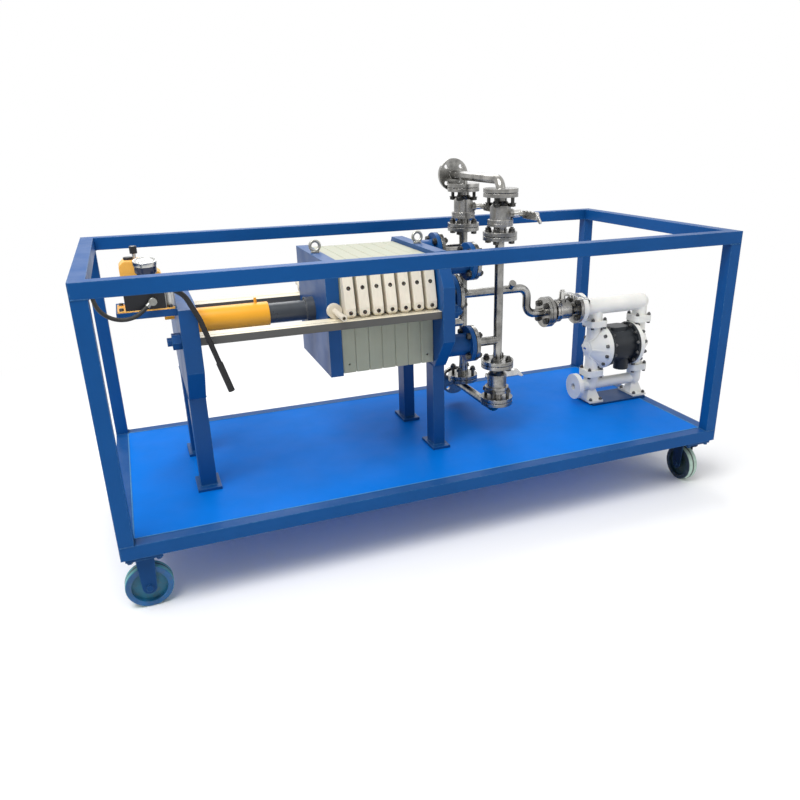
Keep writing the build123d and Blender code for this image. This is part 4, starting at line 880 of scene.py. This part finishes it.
class PRESS_OT_pipework(bpy.types.Operator):
    """Finish the pipes and valves, bolt their flanges and weld their joints"""
    bl_idname = "press.pipework"
    bl_label = "Pipework"

    def execute(self, context):
        sizes = looks()[0]
        finish_nodes(steel("stainless", (0.46, 0.455, 0.435), (0.15, 0.148, 0.14), rough=0.2, heat=0.3),
                     "near_riser", "far_riser", "top_manifold", "drain_manifold", "feed_pipe")
        cast = steel("valve_castings", (0.46, 0.45, 0.43), (0.13, 0.128, 0.12), rough=0.24, heat=0.2)
        finish_nodes(cast, "valve_bodies")
        finish_nodes(steel("lever_steel", (0.80, 0.79, 0.76), (0.52, 0.51, 0.48), rough=0.18),
                     "near_top_lever", "far_top_lever", "drain_lever", "feed_lever")
        finish_nodes(moulded("gasket_rubber", (0.03, 0.03, 0.032), (0.015, 0.015, 0.016), 0.6),
                     "flange_gaskets")
        zinc = steel("bolt_zinc", (0.12, 0.118, 0.11), (0.03, 0.03, 0.029), rough=0.32)
        flange, port = (FLANGE_BOLT_CIRCLE, FLANGE_BOLT_COUNT), (PORT_BOLT_CIRCLE, FLANGE_BOLT_COUNT)
        half = GASKET / 2
        levels = (RISER[1][2] + half, TOP_PIPE[0][2] - half, DRAIN_PIPE[1][2] + half)
        pairs = [((RISER_X, -RISER_Y, RISER[0][2] - half), UP, *flange)]
        pairs += [((RISER_X, side * RISER_Y, z), UP, *flange) for side, z in product(SIDES, levels)]
        pairs.append(((FEED_PIPE[1][0] + half, 0, FEED_Z), ALONG, *flange))
        face = PORTS[1][0]
        ports = [((face, side * RISER_Y, PRESS_Z + rise * PORT_RISE), ALONG, *port)
                 for side, rise in QUARTERS]
        ports.append(((face, 0, PRESS_Z), ALONG, FEED_BOLT_CIRCLE, FEED_BOLT_COUNT))
        pump = [((DISCHARGE[0][0] + GASKET, 0, FEED_Z), ALONG, *flange)]
        sets = [bolt_rings(stack, FLANGE_NUT_HEIGHT, rings) for stack, rings in (
            (2 * PIPE_FLANGE_THICKNESS + GASKET, pairs), (PUMP_FLANGE_STACK, pump), (PORT_STACK, ports))]
        bolt_sets("flange_bolts", sets, sizes.nut_across, zinc)
        weld("pipe_welds", self.pipe_seams(sizes.weld_step), cast, PIPE_WELD_SHARE)
        return {"FINISHED"}

    def pipe_seams(self, step):
        """Points round each pipe where it meets a flange or a branch."""
        thick, port_x = PIPE_FLANGE_THICKNESS, PORTS[1][0] + GASKET + PIPE_FLANGE_THICKNESS
        rings = [((RISER_X, -RISER_Y, RISER[0][2] + thick), UP),
                 ((RISER_X, RISER_Y, FAR_RISER[0][2] + thick), UP),
                 ((RISER_X, TOP_PIPE[1][1] - thick, TOP_OUTLET_Z), ACROSS),
                 ((RISER_X, DRAIN_PIPE[1][1] - thick, DRAIN_OUTLET_Z), ACROSS),
                 ((port_x, 0, PRESS_Z), ALONG), ((FEED_PIPE[1][0] - thick, 0, FEED_Z), ALONG)]
        for y in (-RISER_Y, RISER_Y):
            rings += [((RISER_X, y, z), UP) for z in (RISER[1][2] - thick, TOP_PIPE[0][2] + thick,
                                                      DRAIN_PIPE[1][2] - thick)]
            rings += [((port_x, y, PRESS_Z + rise * PORT_RISE), ALONG) for rise in SIDES]
        return [point for centre, axis in rings for point in seam_round(centre, axis, PIPE_RADIUS, step)]


class PRESS_OT_feed_pump(bpy.types.Operator):
    """Finish the feed pump and bolt its chambers, manifolds and feet"""
    bl_idname = "press.feed_pump"
    bl_label = "Feed pump"

    def execute(self, context):
        white = moulded("pump_plastic", (0.83, 0.82, 0.77), (0.70, 0.70, 0.67), 0.42, subsurface=0.03)
        finish_nodes(white, "pump_left_chamber", "pump_right_chamber", "suction_manifold",
                     "discharge_manifold")
        # Its grey edge colour is partly wear, partly a painted highlight.
        finish_nodes(paint("pump_black", (0.026, 0.031, 0.038), (0.014, 0.017, 0.021),
                           edge_wear_and_highlight=(0.12, 0.13, 0.14), gloss=0.25), "pump_centre")
        dark = steel("pump_bolt_steel", (0.16, 0.16, 0.16), (0.04, 0.04, 0.042), rough=0.34)
        box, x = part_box("pump_left_chamber"), middle(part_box("pump_centre")).x
        z = middle(box).z
        necks = [x + side * PUMP_NECK_SPACING for side in SIDES]
        joints = [((neck, 0, level), UP, PUMP_JOINT_CIRCLE, PUMP_JOINT_COUNT)
                  for neck in necks for level in (box[0][2], box[1][2])]
        rims = [((x + side * PUMP_RIM_OFFSET, 0, z), ALONG, PUMP_RIM_CIRCLE, PUMP_RIM_COUNT)
                for side in SIDES]
        soles = [(neck + shift * PUMP_SOLE_BOLT_X, y * PUMP_SOLE_BOLT_Y, PUMP_SOLE_Z)
                 for neck in necks for shift, y in QUARTERS]
        bolt_sets("pump_bolts", [bolt_rings(PUMP_JOINT_STACK, PUMP_BOLT_HEIGHT, joints),
                                 bolt_rings(PUMP_RIM_STACK, PUMP_BOLT_HEIGHT, rims),
                                 (PUMP_SOLE_STACK, PUMP_SOLE_BOLT_HEIGHT, soles, [UP] * len(soles))],
                  PUMP_BOLT_ACROSS, dark)
        hubs = [(PUMP_HUB, (x + side * PUMP_HUB_OFFSET, 0, z), (side, 0, 0)) for side in SIDES]
        turned("chamber_hubs", hubs, white, 40, 30.0)
        mark = Matrix.Translation((x - CAP_MARK_OFFSET, 0, z)) @ Matrix.Diagonal((*CAP_MARK, 1.0))
        patch = paint("cap_mark", (0.03, 0.12, 0.42), (0.02, 0.09, 0.34), dust=0.0)
        slabs("cap_mark", [mark], patch)
        return {"FINISHED"}


class PRESS_OT_hand_pump(bpy.types.Operator):
    """Finish the hand pump, its gauge and its lever"""
    bl_idname = "press.hand_pump"
    bl_label = "Hand pump"

    def execute(self, context):
        silver = (0.62, 0.62, 0.60)
        # Its grey edge colour is partly wear, partly a painted highlight.
        black = paint("pump_enamel", (0.018, 0.020, 0.024), (0.010, 0.011, 0.013), edge_wear_and_highlight=(0.10, 0.11, 0.12),
                      gloss=0.3)
        tree, _, place = parts_of(black)
        piston = beyond(tree, place, "X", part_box("hand_pump_head")[1][0] - PISTON_DIAMETER)
        recolour(black, piston, silver, 0.9)
        finish_nodes(black, "hand_pump_head")
        finish_nodes(moulded("lever_black", (0.020, 0.020, 0.022), (0.011, 0.011, 0.012), 0.3),
                     "hand_pump_lever")
        # Its pale edge colour is partly wear, partly a painted highlight.
        orange = paint("tank_orange", (0.98, 0.52, 0.10), (0.92, 0.46, 0.08), edge_wear_and_highlight=(0.95, 0.6, 0.3),
                       gloss=0.3)
        tree, _, place = parts_of(orange)
        cap = beyond(tree, place, "Z", TANK_TOP)
        recolour(orange, cap, (0.02, 0.022, 0.026))
        offset = vector_maths(tree, "SUBTRACT", place, VENT)["Vector"]
        vent = maths(tree, "LESS_THAN", distance(tree, offset, (1, 1, 0)), VENT_RADIUS)
        recolour(orange, maths(tree, "MULTIPLY", vent, cap), silver, 1.0)
        finish_nodes(orange, "hand_pump_tank")
        finish_nodes(steel("fitting_zinc", (0.42, 0.43, 0.40), (0.18, 0.18, 0.17), rough=0.3), "hose_fitting")
        self.gauge()
        dark = steel("base_screws", (0.10, 0.10, 0.10), (0.03, 0.03, 0.03), rough=0.35)
        bolt_heads("base_screws", [(x, y, SCREW_Z) for x, y in SCREW_PLACES], UP, SCREW_ACROSS, SCREW_HEIGHT,
                   dark)
        return {"FINISHED"}

    def gauge(self):
        """The gauge on its stem: a dark case, a chrome ring, a white dial, its marks and its needle."""
        chrome = steel("gauge_chrome", (0.72, 0.72, 0.70), (0.46, 0.46, 0.44), rough=0.14)
        navy = paint("gauge_case", (0.010, 0.024, 0.075), (0.006, 0.014, 0.045), rough=0.2, dust=0.0,
                     gloss=0.5)
        white = moulded("dial_white", (0.80, 0.80, 0.78), (0.72, 0.72, 0.70), 0.3, dust=0.0)
        ink = moulded("dial_ink", (0.02, 0.02, 0.022), (0.012, 0.012, 0.013), 0.5, dust=0.0)
        base = Vector(GAUGE_SEAT) + Vector((0, 0, GAUGE_STEM_TOP))
        face = base + Vector(GAUGE_AXIS) * GAUGE_FACE
        turned("gauge_stem", [(GAUGE_STEM, GAUGE_SEAT, UP)], chrome, 24, 30.0)
        case = turned("gauge_case", [(GAUGE_CASE, base, GAUGE_AXIS)], navy, 48)
        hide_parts("pressure_gauge")
        turned("gauge_ring", [(GAUGE_RING, face, GAUGE_AXIS)], chrome, 48)
        turned("gauge_dial", [(GAUGE_DIAL, face, GAUGE_AXIS)], white, 48)
        marks = [(math.radians(-45 + 270 * step / (MARK_COUNT - 1)), MARK_REACH,
                  MARK_LENGTH if step % 5 else LONG_MARK_LENGTH, MARK_WIDTH) for step in range(MARK_COUNT)]
        upright = Matrix.Translation(face) @ facing(GAUGE_AXIS).to_4x4()
        slabs("gauge_marks", [
            upright @ Matrix.Rotation(angle, 4, "Z") @ Matrix.Translation((reach, 0, MARK_HEIGHT))
            @ Matrix.Diagonal((length, width, MARK_THICKNESS, 1)) for angle, reach, length, width in
            (*marks, NEEDLE)], ink)


class PRESS_OT_hose(bpy.types.Operator):
    """Lay the hose between the hand pump and the cylinder"""
    bl_idname = "press.hose"
    bl_label = "Hose"

    def execute(self, context):
        sizes = looks()[0]
        curve = bpy.data.curves.new("hose_line", "CURVE")
        curve.dimensions = "3D"
        spline = curve.splines.new("NURBS")
        spline.points.add(len(HOSE_POINTS) - 1)
        for point, place in zip(spline.points, HOSE_POINTS):
            point.co = (*place, 1.0)
        spline.order_u = 3
        spline.use_endpoint_u = True
        spline.resolution_u = 8
        curve.bevel_depth = sizes.hose_diameter / 2
        curve.bevel_resolution = 6
        curve.use_fill_caps = True
        hose = bpy.data.objects.new("hydraulic_hose", curve)
        context.scene.collection.objects.link(hose)
        curve.materials.append(moulded("hose_rubber", (0.045, 0.045, 0.04), (0.02, 0.02, 0.018), 0.5))
        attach(hose, "frame")
        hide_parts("hose")
        return {"FINISHED"}


class PRESS_OT_stage(bpy.types.Operator):
    """Set the floor, the lamps, the world and the camera"""
    bl_idname = "press.stage"
    bl_label = "Stage"

    def execute(self, context):
        scene = context.scene
        scene.view_settings.view_transform = "Standard"
        self.lay_floor(scene)
        self.light_world(scene)
        for name, place, size, power in LAMPS:
            lamp = bpy.data.lights.new(name, "AREA")
            lamp.energy, lamp.size = power, size
            aim = Vector(LAMP_AIM) - Vector(place)
            self.stand(scene, name, lamp, place, aim.to_track_quat("-Z", "Y").to_euler())
        camera = bpy.data.cameras.new("photo_camera")
        camera.lens, camera.sensor_width = CAMERA_LENS, CAMERA_SENSOR
        camera.shift_x, camera.shift_y = CAMERA_SHIFT
        turn = tuple(math.radians(angle) for angle in CAMERA_TURN)
        scene.camera = self.stand(scene, "photo_camera", camera, CAMERA_PLACE, turn)
        return {"FINISHED"}

    def stand(self, scene, name, data, place, turn):
        """A lamp or camera in its place."""
        holder = bpy.data.objects.new(name, data)
        holder.location, holder.rotation_euler = place, turn
        scene.collection.objects.link(holder)
        return holder

    def lay_floor(self, scene):
        """A pale floor that fades to the background's white far from the press."""
        material, tree, shader, place = start_material("floor_white")
        shader.inputs["Base Color"].default_value = FLOOR_WHITE
        shader.inputs["Roughness"].default_value = 0.7
        radius = vector_maths(tree, "LENGTH", place)["Value"]
        seen = seen_straight(add_node(tree, "ShaderNodeLightPath"))
        amount = maths(tree, "MULTIPLY", span(tree, radius, start=FLOOR_FADE[0], end=FLOOR_FADE[1]), seen)
        mix = add_node(tree, "ShaderNodeMixShader", {
            0: amount, 1: shader.outputs[0], 2: add_node(tree, "ShaderNodeEmission").outputs[0]})
        tree.links.new(mix.outputs[0], tree.nodes["Material Output"].inputs["Surface"])
        mesh = bpy.data.meshes.new("floor")
        mesh.from_pydata(rectangle(-FLOOR_HALF, -FLOOR_HALF, FLOOR_HALF, FLOOR_HALF, 0), [], [(0, 1, 2, 3)])
        mesh.materials.append(material)
        floor = bpy.data.objects.new("floor", mesh)
        scene.collection.objects.link(floor)

    def light_world(self, scene):
        """White where the camera and gloss see it, softer where it lights the press."""
        world = bpy.data.worlds.new("studio")
        world.use_nodes = True
        tree = world.node_tree
        background = tree.nodes["Background"]
        background.inputs["Color"].default_value = (1, 1, 1, 1)
        path = add_node(tree, "ShaderNodeLightPath")
        seen = maths(tree, "MAXIMUM", seen_straight(path), path.outputs["Is Transmission Ray"])
        tree.links.new(span(tree, seen, WORLD_STRENGTH, 1.0), background.inputs["Strength"])
        scene.world = world


OPERATORS = (PRESS_OT_hose, PRESS_OT_frame, PRESS_OT_casters, PRESS_OT_press, PRESS_OT_plates,
             PRESS_OT_pipework, PRESS_OT_feed_pump, PRESS_OT_hand_pump, PRESS_OT_stage)


class PRESS_PT_panel(bpy.types.Panel):
    """Buttons for the press in the 3D view's sidebar"""
    bl_idname = "PRESS_PT_panel"
    bl_label = "Filter press"
    bl_space_type = "VIEW_3D"
    bl_region_type = "UI"
    bl_category = "Filter Press"

    def draw(self, context):
        for operator in OPERATORS:
            self.layout.operator(operator.bl_idname)
        for group in (context.scene.press_sizes, context.scene.press_colours):
            for name in group.bl_rna.properties.keys():
                if name not in ("rna_type", "name"):
                    self.layout.prop(group, name)


CLASSES = (PressSizes, PressColours, *OPERATORS, PRESS_PT_panel)


def register():
    for item in CLASSES:
        bpy.utils.register_class(item)
    bpy.types.Scene.press_sizes = bpy.props.PointerProperty(type=PressSizes)
    bpy.types.Scene.press_colours = bpy.props.PointerProperty(type=PressColours)


def unregister():
    del bpy.types.Scene.press_colours
    del bpy.types.Scene.press_sizes
    for item in reversed(CLASSES):
        bpy.utils.unregister_class(item)


def main():
    register()
    for operator in OPERATORS:
        category, name = operator.bl_idname.split(".")
        getattr(getattr(bpy.ops, category), name)()


if __name__ == "__main__":
    main()
